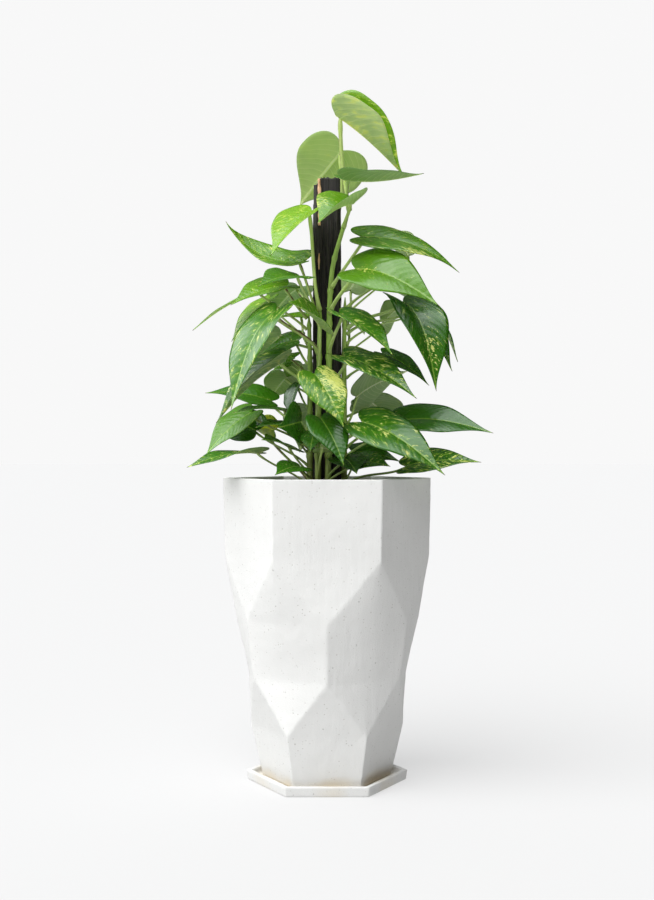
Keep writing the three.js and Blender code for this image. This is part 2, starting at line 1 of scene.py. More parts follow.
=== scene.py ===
# %% [markdown]
# # A potted pothos on a fibre post
#
# A tall clay pot with six cut-looking sides stands in a six-sided saucer. A dark fibre post
# rises from its soil, and five vines climb the post and hold some sixty heart-shaped leaves.
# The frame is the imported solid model: every piece below takes its place and its sizes from it,
# so nothing has to be fitted by eye. The leaves are drawn from nearly the same few numbers
# as the solid ones, with many more rows, ripples, ribs and two real sides.

import math

import bmesh
import bpy
import numpy as np
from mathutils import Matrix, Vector, noise


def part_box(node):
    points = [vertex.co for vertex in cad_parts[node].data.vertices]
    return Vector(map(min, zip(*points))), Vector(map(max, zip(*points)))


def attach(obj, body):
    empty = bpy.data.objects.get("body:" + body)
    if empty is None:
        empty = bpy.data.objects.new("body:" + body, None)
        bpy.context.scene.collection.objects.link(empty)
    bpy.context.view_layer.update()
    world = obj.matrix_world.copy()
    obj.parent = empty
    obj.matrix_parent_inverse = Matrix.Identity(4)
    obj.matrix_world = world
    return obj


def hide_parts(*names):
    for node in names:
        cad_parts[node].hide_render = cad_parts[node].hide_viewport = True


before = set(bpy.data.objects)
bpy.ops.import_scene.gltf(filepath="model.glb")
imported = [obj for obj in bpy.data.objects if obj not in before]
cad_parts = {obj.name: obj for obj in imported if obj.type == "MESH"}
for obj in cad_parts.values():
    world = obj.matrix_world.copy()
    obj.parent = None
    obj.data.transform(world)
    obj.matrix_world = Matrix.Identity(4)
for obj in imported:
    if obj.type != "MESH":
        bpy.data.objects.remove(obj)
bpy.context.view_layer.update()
MM = 0.001

# %% [markdown]
# ## Camera and light
#
# The plant is looked at level, from a little above the rim, with a lens long enough to keep
# the pot's sides straight. It stands on a lit shooting table: a pale sheet that glows a little,
# so that the shadow stays light. One wide lamp, high at the front left, shapes the pot's
# faces, and a dim sky fills in the rest. A white wall behind shines through the leaves, and two
# softboxes, seen by glossy surfaces only, put the sheen on them. The sky that the camera sees
# directly is plain white.

# %% Camera
VIEW_DISTANCE = 1.315
EYE_HEIGHT = 0.333
SENSOR = 36
LENS = 52


def add_object(name, data):
    made = bpy.data.objects.new(name, data)
    bpy.context.scene.collection.objects.link(made)
    return made


camera = add_object("front_view", bpy.data.cameras.new("front_view"))
camera.data.sensor_width = SENSOR
camera.data.lens = LENS
camera.location = (0, -VIEW_DISTANCE, EYE_HEIGHT)
camera.rotation_euler = (math.radians(90), 0, 0)
bpy.context.scene.camera = camera
bpy.context.scene.view_settings.view_transform = "Standard"
print("camera at", tuple(camera.location))

# %% Node helpers
class Number:
    """A number inside a node tree. Plain arithmetic on it adds Math nodes."""

    def __init__(self, tree, socket):
        self.tree, self.socket = tree, socket

    def math(self, operation, *others, clamp=False):
        inputs = dict(enumerate((self, *others)))
        return number(self.tree, "ShaderNodeMath", inputs, operation=operation, use_clamp=clamp)

    def ramp(self, low, high, to_low=0.0, to_high=1.0):
        """Taken from low..high to to_low..to_high, and held at the ends."""
        inputs = dict(enumerate((self, low, high, to_low, to_high)))
        return number(self.tree, "ShaderNodeMapRange", inputs, clamp=True)

    def held(self):
        """Held between 0 and 1."""
        return self.math("ADD", 0.0, clamp=True)

    def __add__(self, other):
        return self.math("ADD", other)

    def __sub__(self, other):
        return self.math("SUBTRACT", other)

    def __mul__(self, other):
        return self.math("MULTIPLY", other)

    __radd__, __rmul__ = __add__, __mul__


def plug(tree, node, inputs):
    """Links inputs, by name or place, to numbers and sockets, or sets them to plain values."""
    for key, value in inputs.items():
        if isinstance(value, Number):
            value = value.socket
        if isinstance(value, bpy.types.NodeSocket):
            tree.links.new(value, node.inputs[key])
        else:
            node.inputs[key].default_value = value


def add_node(tree, kind, inputs=None, **settings):
    """A node: its settings are made first, and then its inputs are plugged in."""
    made = tree.nodes.new(kind)
    for key, value in settings.items():
        setattr(made, key, value)
    plug(tree, made, inputs or {})
    return made


def number(tree, kind, inputs=None, output=0, **settings):
    return Number(tree, add_node(tree, kind, inputs, **settings).outputs[output])


print("node helpers ready")

# %% Colour, texture and surface helpers
def split(tree, source, kind="ShaderNodeSeparateXYZ"):
    """The three numbers of a vector, or of a colour."""
    return [Number(tree, part) for part in add_node(tree, kind, {0: source}).outputs]


def vector(tree, x, y, z=0.0):
    return add_node(tree, "ShaderNodeCombineXYZ", {0: x, 1: y, 2: z}).outputs[0]


def mix(tree, share, a, b, blend="MIX"):
    """Two colours, mixed or blended in another way."""
    return add_node(tree, "ShaderNodeMix", {0: share, 6: a, 7: b},
                    data_type="RGBA", blend_type=blend).outputs[2]


def speckle(tree, place, scale, detail=2.0, roughness=0.5, distortion=0.0):
    """The grey value of a Noise Texture."""
    return number(tree, "ShaderNodeTexNoise", {
        "Vector": place, "Scale": scale, "Detail": detail,
        "Roughness": roughness, "Distortion": distortion})


def stretched(tree, place, scale):
    return add_node(tree, "ShaderNodeMapping", {"Vector": place, "Scale": scale}).outputs[0]


def colour(red, green, blue):
    """A colour as it looks on a screen, 0 to 255, as the linear values that nodes take."""
    parts = [v / 255 for v in (red, green, blue)]
    return (*[v / 12.92 if v <= 0.04045 else ((v + 0.055) / 1.055) ** 2.4 for v in parts], 1.0)


def shade(tone, factor):
    return (*[v * factor for v in tone[:3]], 1.0)


def new_material(name):
    """A material, its tree and shader, and the place of a point on the piece."""
    made = bpy.data.materials.new(name)
    made.use_nodes = True
    tree = made.node_tree
    place = add_node(tree, "ShaderNodeTexCoord").outputs["Object"]
    return made, tree, tree.nodes["Principled BSDF"], place


def surface(tree, shader, skin, relief, strength, depth, roughness, gloss=0.5):
    """Plugs colour, relief and roughness into the shader, and returns the bump."""
    bump = add_node(tree, "ShaderNodeBump", {
        "Strength": strength, "Distance": depth, "Height": relief}).outputs[0]
    plug(tree, shader, {"Base Color": skin, "Normal": bump, "Roughness": roughness,
                        "Specular IOR Level": gloss})
    return bump


print("surface helpers ready")

# %% Sky and lamp
LAMP_FROM = Vector((-0.38, -0.42, 0.82))
LAMP_STRENGTH = 4.15
LAMP_WIDTH = 60       # degrees, which sets how soft the shadows are
SKY_LOW, SKY_HIGH = 0.04, 0.6
SCREEN_FROM = (-0.6, -0.77, 0.2)    # a white screen at the front left
SCREEN_STRENGTH = 0.58
WALL_STRENGTH = 1.1    # the white wall behind, which shines through the leaves
# Each softbox: where it is, where its soft rim starts, where it is full, its strength.
SOFTBOXES = (((0.37, -0.08, 0.925), 0.88, 0.95, 5.5), ((-0.8, 0.4, 0.45), 0.9, 0.97, 4.5))
BACKGROUND = 0.94

lamp = add_object("key_lamp", bpy.data.lights.new("key_lamp", "SUN"))
lamp.data.energy = LAMP_STRENGTH
lamp.data.angle = math.radians(LAMP_WIDTH)
lamp.rotation_euler = LAMP_FROM.to_track_quat("Z", "Y").to_euler()

sky = bpy.data.worlds.new("studio")
bpy.context.scene.world = sky
sky.use_nodes = True
sky_tree = sky.node_tree
sky_tree.nodes.clear()
direction = add_node(sky_tree, "ShaderNodeTexCoord").outputs["Generated"]
rays = add_node(sky_tree, "ShaderNodeLightPath").outputs
glossy = Number(sky_tree, rays["Is Glossy Ray"])


def towards(aim):
    """How directly a ray points at an aim, up to 1."""
    return number(sky_tree, "ShaderNodeVectorMath", {0: direction, 1: aim}, "Value",
                  operation="DOT_PRODUCT")


rightwards, backwards, upwards = split(sky_tree, direction)
dome = upwards.math("MAXIMUM", 0.0).math("POWER", 1.5).ramp(0.0, 1.0, SKY_LOW, SKY_HIGH)
dome = dome * rightwards.ramp(-0.4, 0.45, 1.0, 0.02)
screen = towards(SCREEN_FROM).ramp(0.45, 0.9, 0.0, SCREEN_STRENGTH)
wall = backwards.ramp(0.3, 0.9, 0.0, WALL_STRENGTH) * (glossy * -1 + 1)
boxes = [towards(aim).ramp(rim, full, 0.0, power) for aim, rim, full, power in SOFTBOXES]
fill = add_node(sky_tree, "ShaderNodeBackground", {
    "Color": (0.96, 0.98, 1, 1), "Strength": dome + screen + wall + sum(boxes) * glossy})
plain = add_node(sky_tree, "ShaderNodeBackground", {
    "Color": (1, 1, 1, 1), "Strength": BACKGROUND})
choice = add_node(sky_tree, "ShaderNodeMixShader", {
    0: rays["Is Camera Ray"], 1: fill.outputs[0], 2: plain.outputs[0]})
add_node(sky_tree, "ShaderNodeOutputWorld", {0: choice.outputs[0]})
print("lamp", LAMP_STRENGTH, "sky", SKY_LOW, "to", SKY_HIGH)

# %% Floor
FLOOR_RADIUS = 30
FLOOR_GLOW = 0.55
FLOOR_GREY = 0.25

floor_mesh = bpy.data.meshes.new("table_top")
edge_turns = [math.radians(a) for a in range(0, 360, 5)]
edge_points = [(FLOOR_RADIUS * math.cos(a), FLOOR_RADIUS * math.sin(a), 0) for a in edge_turns]
floor_mesh.from_pydata(edge_points, [], [list(range(len(edge_points)))])
floor_material, floor_tree, floor_shader, _ = new_material("lit_table")
plug(floor_tree, floor_shader, {
    "Base Color": (FLOOR_GREY, FLOOR_GREY, FLOOR_GREY, 1), "Roughness": 1,
    "Specular IOR Level": 0, "Emission Color": (1, 1, 1, 1), "Emission Strength": FLOOR_GLOW})
floor_mesh.materials.append(floor_material)
add_object("table_top", floor_mesh)
print("floor radius", FLOOR_RADIUS)

# %% [markdown]
# ## Sizes shared with the solid model
#
# The pieces that are drawn anew repeat the solid model's driving sizes. They are in
# millimetres, as a maker would give them, and become metres only when a mesh is made.

# %% Sizes
def box_mm(node):
    low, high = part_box(node)
    return np.array(low) / MM, np.array(high) / MM


POT_BASE, RIM = box_mm("pot")[0][2], box_mm("pot")[1][2]
POT_HEIGHT = RIM - POT_BASE
RIM_RADIUS = box_mm("pot")[1][0]
POT_WALL = 9
POT_FLOOR = 14
DRAIN_RADIUS = 9
SOIL_TOP = box_mm("soil")[1][2]
SOIL_BOTTOM = box_mm("soil")[0][2]
POLE_FOOT, POLE_TOP = box_mm("support_pole")[0][2], box_mm("support_pole")[1][2]
POLE_WIDTH, POLE_DEPTH = 27.5, 24
FIT_GAP = 0.3
VINE_RADIUS = 3.2
VINE_IN_SOIL = 50
STALK_RADIUS = 1.5
APOTHEM = math.cos(math.radians(30))
print("rim", round(RIM, 2), "soil", round(SOIL_TOP, 2), "post top", round(POLE_TOP, 2))

# %% Mesh helpers
def new_piece(name, points, faces, material):
    """A smooth mesh object at the origin, from points in millimetres."""
    mesh = bpy.data.meshes.new(name)
    mesh.from_pydata((np.asarray(points) * MM).tolist(), [], faces)
    mesh.materials.append(material)
    mesh.shade_smooth()
    return add_object(name, mesh)


def ring_faces(rings, columns, loop=False):
    """Quads between rings of points; in a loop the last ring joins the first."""
    faces = []
    for ring in range(rings if loop else rings - 1):
        here, above = ring * columns, ((ring + 1) % rings) * columns
        for k in range(columns):
            following = (k + 1) % columns
            faces.append((here + k, here + following, above + following, above + k))
    return faces


def closed_stack(rings, ends):
    """Points and faces of a stack of rings, with a fan to one end point at each end."""
    rings = np.asarray(rings)
    count, columns = rings.shape[:2]
    faces = ring_faces(count, columns)
    first, last, top = count * columns, count * columns + 1, (count - 1) * columns
    for k in range(columns):
        following = (k + 1) % columns
        faces.append((first, following, k))
        faces.append((last, top + k, top + following))
    return np.concatenate([rings.reshape(-1, 3), ends]), faces


def skin_mesh(name, rings):
    """A mesh of the open skin between rings, for things to be scattered on."""
    rings = np.asarray(rings)
    mesh = bpy.data.meshes.new(name)
    mesh.from_pydata((rings.reshape(-1, 3) * MM).tolist(), [], ring_faces(*rings.shape[:2]))
    return mesh


def hand_in(piece, node):
    """The piece rides on the one body and stands for its solid node, whose part is hidden."""
    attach(piece, "root")
    if node:
        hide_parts(node)
    piece.data.calc_loop_triangles()
    print(piece.name, len(piece.data.loop_triangles), "triangles")


print("mesh helpers ready")

# %% [markdown]
# ## The clay pot
#
# The pot is slip-cast clay, left matt and white. Its six sides are cut like a gem: pentagons
# hang from the rim, kites stand on the corners, and small pentagons rise from the foot. The
# edges are soft, as clay is after sponging. One way is to bevel the solid's edges, but its faces
# would stay dead flat. So every row of a fine grid is worked out from the faces' distances
# instead: flat sides first, then a soft kite over each corner. The grid is relaxed once, which
# rounds the creases and rims, and a slight unevenness is pressed in afterwards.

# %% The pot's outside
COLUMNS_PER_SIDE = 60
CORNER_CROWDING = 0.3      # how strongly the columns gather at the corners
ROW_STEP = 2.0
COLLAR, UPPER_POINT, LOWER_POINT, SHOULDER = 77, 139, 195, 249    # drops below the rim

# Distance from the axis to the flat faces: the pentagons above, then the ones at the foot.
FACE_DROPS = [0, COLLAR, UPPER_POINT, LOWER_POINT, 222, SHOULDER, 275, POT_HEIGHT]
FACE_OUT = [90.93, 89.37, 90.2, 83, 74.4, 66.68, 61, 55.86]

# The kites between them, in section: their side corners lie this far along and beside the
# middle line, and the middle itself stands out like this on a full one.
KITE_DROPS = [COLLAR, UPPER_POINT, LOWER_POINT, SHOULDER]
KITE_ALONG = [103.2, 78.11, 71.88, 77]
KITE_BESIDE = [0, 45.1, 41.5, 0]
BELLY_DROPS = [COLLAR, UPPER_POINT, 168, LOWER_POINT, 225, SHOULDER]
BELLY = [103.2, 92.8, 86, 79.5, 77.4, 77]
# Each kite, turn by turn from +X, was pared by hand: how full its belly is and how round.
FULLNESS = [1.0, 0.6, 0.5, 0.9, 0.62, 0.58]
ROUNDNESS = [0.35, 0.7, 0.6, 0.4, 0.6, 0.65]

SIXTH = math.radians(60)
side_share = np.arange(COLUMNS_PER_SIDE) / COLUMNS_PER_SIDE
side_share = side_share - CORNER_CROWDING * np.sin(2 * np.pi * side_share) / (2 * np.pi)
TURNS = np.concatenate([(k + side_share) * SIXTH for k in range(6)])
NEAREST_CORNER = np.round(TURNS / SIXTH).astype(int)
FROM_CORNER = np.abs(TURNS - NEAREST_CORNER * SIXTH)


def level_ring(reach, height):
    """Points round the axis, at each turn as far out as reach says."""
    return np.stack(
        [reach * np.cos(TURNS), reach * np.sin(TURNS), np.full(len(TURNS), height)], 1)


def hex_ring(radius, height, roundness=0.0):
    """A six-sided ring with that corner radius, made rounder towards roundness 1."""
    flat = radius * APOTHEM / np.cos(SIXTH / 2 - FROM_CORNER)
    reach = flat + (radius - flat) * roundness
    return level_ring(reach, height)


def facet_ring(height):
    """The pot's section at a height: flat faces, and a soft kite on each corner."""
    drop = RIM - height
    face = np.interp(drop, FACE_DROPS, FACE_OUT) / np.cos(SIXTH / 2 - FROM_CORNER)
    reach = face.copy()
    if COLLAR < drop < SHOULDER:
        side_along = np.interp(drop, KITE_DROPS, KITE_ALONG)
        side_beside = np.interp(drop, KITE_DROPS, KITE_BESIDE)
        share = np.linspace(0, 1, 50)
        for corner in range(6):
            full, soft = FULLNESS[corner], ROUNDNESS[corner]
            middle = side_along + (np.interp(drop, BELLY_DROPS, BELLY) - side_along) * full
            fall = (np.hypot(share, soft) - soft) / (math.hypot(1, soft) - soft)
            along = middle + (side_along - middle) * fall
            turns = np.arctan2(share * side_beside, along)
            kite = np.interp(FROM_CORNER, turns, np.hypot(along, share * side_beside))
            here = (NEAREST_CORNER % 6 == corner) & (FROM_CORNER < turns[-1])
            reach[here] = kite[here]
    return level_ring(reach, height)


EDGE_ROWS = [0.1, 0.8, 1.8]    # closer rows at the foot and the rim, which are rounded more
EDGE_HEIGHT = 3.5
outside_rows = np.concatenate([
    POT_BASE + np.array(EDGE_ROWS),
    np.arange(POT_BASE + EDGE_HEIGHT, RIM - 3.2, ROW_STEP),
    RIM - np.array(EDGE_ROWS[::-1]),
])
outside = [facet_ring(height) for height in outside_rows]
print("outside rows", len(outside), "columns", len(TURNS))

# %% Build the pot's shell
def relax(rings, times, step):
    """Moves each point of a closed grid part of the way to the middle of its neighbours."""
    for _ in range(times):
        middle = (np.roll(rings, 1, 0) + np.roll(rings, -1, 0)
                  + np.roll(rings, 1, 1) + np.roll(rings, -1, 1)) / 4
        rings = rings + (middle - rings) * step
    return rings


def uneven(points, amount, size, shift=0.0):
    """A smooth random value for each point, for surfaces shaped by hand."""
    shift = Vector((shift, 0, 0))
    return np.array([noise.noise(Vector(p) / size + shift) for p in points]) * amount


def rings_of(rows):
    """Six-sided rings from rows of radius, height and roundness."""
    return [hex_ring(*row) for row in rows]


HOLLOW_TOP = RIM_RADIUS - POT_WALL / APOTHEM
HOLLOW_BOTTOM = 57.5
FLOOR_TOP = POT_BASE + POT_FLOOR
HOLLOW_FLARE = (HOLLOW_TOP - HOLLOW_BOTTOM) / (RIM - FLOOR_TOP)
inside_heights = [*(RIM - np.array([0.1, 1.5, 4])), *np.linspace(RIM - 10, FLOOR_TOP + 1, 26)]
pot_rings = np.array(
    outside
    + rings_of((RIM_RADIUS - back, RIM) for back in (1.2, 3.5, 6, 8.5))
    + rings_of((HOLLOW_BOTTOM + HOLLOW_FLARE * (h - FLOOR_TOP), h) for h in inside_heights)
    + rings_of((radius, FLOOR_TOP, r) for radius, r in ((55, 0), (40, 0.3), (24, 0.7), (11, 1)))
    + rings_of((DRAIN_RADIUS, POT_BASE + h, 1) for h in (12.5, 9, 5, 1.5))
    + rings_of((radius, POT_BASE, r)
               for radius, r in ((11, 1), (26, 0.7), (44, 0.3), (60, 0), (63, 0))))
pot_points = relax(pot_rings, 1, 0.4).reshape(-1, 3)
outwards = pot_points * [1, 1, 0]
outwards = outwards / np.maximum(np.linalg.norm(outwards, axis=1, keepdims=True), 1)
dents = uneven(pot_points, 0.7, 38) + uneven(pot_points, 0.22, 9, 5.0)
pot_points = pot_points + outwards * dents[:, None]
pot_faces = ring_faces(len(pot_rings), len(TURNS), loop=True)
print("pot points", len(pot_points))

# %% [markdown]
# ### Clay finish
#
# Bare clay is rough and soft to the light. What tells it from plaster is small: pin holes left
# by bubbles, with painted shade in them, a few grey and tan grains, faint upright strokes of
# the sponge, and a cream stain where water wicks up at the foot. All of it is mixed from noise
# at the right sizes, and the pin holes and the strokes go into the bump as well.

# %% Clay material
GRAIN = colour(128, 118, 104)
PIN_HOLE_SHADE = colour(120, 118, 112)
# painted shade: the grey put inside each pin hole, where the hole would be in shade
WATER_STAIN = colour(206, 190, 158)


def rare_cells(tree, place, scale, reach, pick, rarity):
    """1 in the middle of a few cells of a Voronoi pattern, for grains and pin holes."""
    cells = add_node(tree, "ShaderNodeTexVoronoi", {"Vector": place, "Scale": scale}).outputs
    chosen = split(tree, cells["Color"], "ShaderNodeSeparateColor")[pick]
    return Number(tree, cells["Distance"]).ramp(*reach, 1.0, 0.0) * chosen.ramp(*rarity)


def clay_material(name, body_colour):
    made, tree, shader, place = new_material(name)
    cloud = speckle(tree, place, 14, 3)
    tone = mix(tree, cloud.ramp(0.3, 0.7), body_colour, shade(body_colour, 0.94))
    grain = rare_cells(tree, place, 430.0, (0.1, 0.34), 0, (0.84, 0.98))
    tone = mix(tree, grain * 0.45, tone, GRAIN)
    # the pin holes are painted grey, a painted shade inside each small hole
    pit = rare_cells(tree, place, 230.0, (0.05, 0.2), 1, (0.8, 0.98))
    tone = mix(tree, pit * 0.6, tone, PIN_HOLE_SHADE)
    x, y, z = split(tree, place)
    ragged = speckle(tree, place, 30) * 0.02
    low = (z - ragged).ramp(-0.006, 0.006, 1.0, 0.0)
    inner = ((x * x + y * y).math("SQRT") - ragged).ramp(0.05, 0.064, 1.0, 0.0)
    tone = mix(tree, low * inner * 0.6, tone, WATER_STAIN)
    strokes = speckle(tree, stretched(tree, place, (190, 190, 26)), 1.0, 2)
    fine = speckle(tree, place, 900, 2)
    relief = strokes * 0.7 + fine * 0.45 - pit * 0.9 - grain * 0.2
    surface(tree, shader, tone, relief, 0.6, 0.0008, fine.ramp(0.3, 0.7, 0.8, 0.95), 0.3)
    return made


pot = new_piece("clay_pot", pot_points, pot_faces,
                clay_material("white_clay", colour(219, 219, 217)))
hand_in(pot, "pot")

# %% [markdown]
# ### Saucer
#
# The saucer is a shallow six-sided dish with a thick upright edge. It is built in the same
# way as the pot: six-sided rings from the underside over the edge to the dish's floor, relaxed
# so that its edges catch a soft line of light.

# %% Saucer
SAUCER_TOP, SAUCER_RADIUS = box_mm("saucer")[1][2], box_mm("saucer")[1][0]
SAUCER_FLOOR = 4.7
SAUCER_WALL = 5
SAUCER_FLARE = 1.5
foot = SAUCER_RADIUS - SAUCER_FLARE
inner = SAUCER_RADIUS - SAUCER_WALL / APOTHEM
dish = SAUCER_TOP - SAUCER_FLOOR
saucer_rings = np.array(
    rings_of((foot - back, 0.0) for back in (70, 50, 30, 12, 4, 1.6, 0.5))
    + rings_of((foot + SAUCER_FLARE * share, SAUCER_TOP * share)
               for share in (0.06, 0.16, 0.35, 0.6, 0.82, 0.93))
    + rings_of((SAUCER_RADIUS - back, SAUCER_TOP) for back in (0.3, 1.2, 2.6, 4.2, 5.4))
    + rings_of((inner - SAUCER_FLARE * share, SAUCER_TOP - dish * share)
               for share in (0.08, 0.3, 0.6, 0.9))
    + rings_of((inner - SAUCER_FLARE - back, SAUCER_FLOOR) for back in (0.6, 3, 10, 25, 45, 65)))
kept_ends = saucer_rings[[0, -1]].copy()
saucer_rings = relax(saucer_rings, 3, 0.4)
saucer_rings[[0, -1]] = kept_ends
saucer_points, saucer_faces = closed_stack(saucer_rings, [(0, 0, 0), (0, 0, SAUCER_FLOOR)])
saucer_points[:, 2] = np.maximum(saucer_points[:, 2], 0)
saucer = new_piece("clay_saucer", saucer_points, saucer_faces,
                   clay_material("saucer_clay", colour(214, 214, 212)))
hand_in(saucer, "saucer")

# %% [markdown]
# ## Soil
#
# Peaty potting soil fills the pot to a thumb's width below the rim. Its body is a six-sided
# block with a lumpy top. The crumbs and bark chips on it repeat hundreds of times, which is
# work for Geometry Nodes: points are scattered on the top, and each one gets a small rough
# stone shape, turned and scaled at random from a fixed seed.

# %% Geometry Nodes helpers
def new_tree(name, numbers):
    """A Geometry Nodes tree with named number inputs, and the outputs of its input node."""
    tree = bpy.data.node_groups.new(name, "GeometryNodeTree")
    tree.interface.new_socket("Geometry", in_out="INPUT", socket_type="NodeSocketGeometry")
    for label, value in numbers.items():
        kind = "NodeSocketInt" if isinstance(value, int) else "NodeSocketFloat"
        made = tree.interface.new_socket(label, in_out="INPUT", socket_type=kind)
        made.default_value = value
    tree.interface.new_socket("Geometry", in_out="OUTPUT", socket_type="NodeSocketGeometry")
    return tree, tree.nodes.new("NodeGroupInput").outputs


def end_tree(tree, geometry, material):
    """Realises the instances, sets the material and ends the tree."""
    real = add_node(tree, "GeometryNodeRealizeInstances", {0: geometry})
    shaded = add_node(tree, "GeometryNodeSetMaterial", {
        "Geometry": real.outputs[0], "Material": material})
    add_node(tree, "NodeGroupOutput", {0: shaded.outputs[0]})
    return tree


def random_between(tree, given, smallest, largest, seed):
    """A random number for each instance, between two of the tree's inputs."""
    made = add_node(tree, "FunctionNodeRandomValue", {"Seed": seed}, data_type="FLOAT")
    for label, source in (("Min", smallest), ("Max", largest)):
        socket = next(s for s in made.inputs if s.name == label and s.type == "VALUE")
        tree.links.new(given[source], socket)
    return Number(tree, next(s for s in made.outputs if s.type == "VALUE"))


def scatter(tree, given, shape, low_turn, high_turn, seed, scale, material):
    """Places a shape all over the tree's own surface, turned at random, and ends the tree."""
    points = add_node(tree, "GeometryNodeDistributePointsOnFaces", {
        "Mesh": given["Geometry"], "Density": given["Density"], "Seed": given["Seed"]})
    turn = add_node(tree, "FunctionNodeRandomValue", {0: low_turn, 1: high_turn, "Seed": seed},
                    data_type="FLOAT_VECTOR")
    placed = add_node(tree, "GeometryNodeInstanceOnPoints", {
        "Points": points.outputs["Points"], "Instance": shape.outputs[0],
        "Rotation": turn.outputs[0], "Scale": scale})
    return end_tree(tree, placed.outputs[0], material)


def grow(name, mesh, tree, numbers):
    """Runs a tree on a mesh and returns the result as a plain mesh object."""
    carrier = add_object(name, mesh)
    modifier = carrier.modifiers.new(tree.name, "NODES")
    modifier.node_group = tree
    for item in tree.interface.items_tree:
        if item.in_out == "INPUT" and item.name in numbers:
            modifier[item.identifier] = numbers[item.name]
    evaluated = carrier.evaluated_get(bpy.context.evaluated_depsgraph_get())
    grown = bpy.data.meshes.new_from_object(evaluated)
    carrier.modifiers.remove(modifier)
    carrier.data = grown
    grown.shade_smooth()
    return carrier


print("geometry helpers ready")

# %% Soil materials
def earth_material(name, dark, light, scale):
    made, tree, shader, place = new_material(name)
    crumbs = speckle(tree, place, scale, 4, 0.65)
    surface(tree, shader, mix(tree, crumbs.ramp(0.35, 0.7), dark, light), crumbs,
            0.9, 0.002, crumbs.ramp(0.3, 0.7, 1.0, 0.82), 0.25)
    return made


peat = earth_material("peat", colour(38, 28, 20), colour(92, 70, 50), 320.0)
bark = earth_material("bark_chips", colour(62, 42, 26), colour(140, 104, 70), 260.0)
print("earth materials", peat.name, bark.name)

# %% Soil body
SOIL_WALL_GAP = 0.4
SOIL_INSET = 1
SIDE_HEIGHTS = [SOIL_BOTTOM + SOIL_INSET, 120, 200, 262]


def soil_radius(height):
    hollow = HOLLOW_BOTTOM + HOLLOW_FLARE * (height - FLOOR_TOP)
    return hollow - SOIL_WALL_GAP / APOTHEM - SOIL_INSET


top_shares = np.linspace(0.04, 1.0, 34)[::-1]
soil_rings = rings_of((soil_radius(height), height) for height in SIDE_HEIGHTS)
for ring in rings_of((soil_radius(SOIL_TOP) * share, SOIL_TOP - 3) for share in top_shares):
    ring[:, 2] += 2 + uneven(ring, 2.2, 14) + uneven(ring, 1.0, 5, 3.0)
    soil_rings.append(ring)
soil_ends = [(0, 0, SIDE_HEIGHTS[0]), (0, 0, SOIL_TOP - 1)]
soil = new_piece("peat_soil", *closed_stack(soil_rings, soil_ends), peat)
hand_in(soil, "soil")

# %% Crumbs and bark chips
STONE_ROUGHNESS = 0.0016
ANY_TURN = (6.28, 6.28, 6.28)


def stone_tree(name, material):
    """Rough little stones, from the smallest to the largest size, all over a surface."""
    tree, given = new_tree(name, {
        "Density": 60000.0, "Smallest": 0.8, "Largest": 2.4, "Flatness": 0.6, "Seed": 1})
    ball = add_node(tree, "GeometryNodeMeshIcoSphere", {"Radius": MM, "Subdivisions": 1})
    rough = add_node(tree, "ShaderNodeTexNoise", {"Scale": 900.0}).outputs[1]
    centred = add_node(tree, "ShaderNodeVectorMath", {0: rough, 1: (0.5,) * 3},
                       operation="SUBTRACT")
    push = add_node(tree, "ShaderNodeVectorMath",
                    {0: centred.outputs[0], 1: (STONE_ROUGHNESS,) * 3}, operation="MULTIPLY")
    stone = add_node(tree, "GeometryNodeSetPosition", {
        "Geometry": ball.outputs["Mesh"], "Offset": push.outputs[0]})
    size = random_between(tree, given, "Smallest", "Largest", 7)
    flat = size * given["Flatness"]
    return scatter(tree, given, stone, (0, 0, 0), ANY_TURN, 11,
                   vector(tree, size, flat, flat), material)


soil_top = skin_mesh("soil_top", soil_rings[len(SIDE_HEIGHTS) + 1:])
crumbs = grow("soil_crumbs", soil_top, stone_tree("crumbs", peat), {
    "Density": 42000.0, "Smallest": 0.7, "Largest": 2.2, "Flatness": 0.75, "Seed": 3})
hand_in(crumbs, None)
chips = grow("bark_chips", soil_top.copy(), stone_tree("chips", bark), {
    "Density": 5200.0, "Smallest": 2.2, "Largest": 5.2, "Flatness": 0.35, "Seed": 8})
hand_in(chips, None)

# %% [markdown]
# ## Tubes along curves
#
# The leaf stalks and the post's torn strands are tubes. A tube needs a frame that doesn't spin
# as its path bends, so each ring's frame is carried over from the one before it.

# %% Curves and tubes
def bezier(points, share):
    """Points of a cubic curve at an array of shares."""
    share = np.asarray(share)[:, None]
    rest = 1 - share
    a, b, c, d = (np.asarray(p, float) for p in points)
    return rest**3 * a + 3 * rest**2 * share * b + 3 * rest * share**2 * c + share**3 * d


def bezier_direction(points, share):
    share = np.asarray(share)[:, None]
    rest = 1 - share
    a, b, c, d = (np.asarray(p, float) for p in points)
    slope = rest**2 * (b - a) + 2 * rest * share * (c - b) + share**2 * (d - c)
    return slope / np.linalg.norm(slope, axis=1, keepdims=True)


def unit(vector):
    vector = np.asarray(vector, float)
    return vector / np.linalg.norm(vector)


def tube(path, radii, sides, flatten):
    """Points and faces of a closed tube; flatten presses its upper side in, as on a stalk."""
    path = np.asarray(path, float)
    along = np.gradient(path, axis=0)
    along /= np.linalg.norm(along, axis=1, keepdims=True)
    up = np.array([0, 0, 1.0]) if abs(along[0][2]) < 0.9 else np.array([0, -1.0, 0])
    turns = np.arange(sides) * 2 * np.pi / sides
    pressed = 1 - flatten * np.clip(np.cos(turns), 0, 1) ** 2
    rings = []
    for centre, direction, radius in zip(path, along, radii):
        up = unit(up - direction * np.dot(up, direction))
        across = np.cross(direction, up)
        rings.append(centre + radius * (
            np.outer(np.cos(turns) * pressed, up) - np.outer(np.sin(turns), across)))
    points, faces = closed_stack(rings, [path[0], path[-1]])
    return points, [tuple(reversed(face)) for face in faces]


print("curve helpers ready")

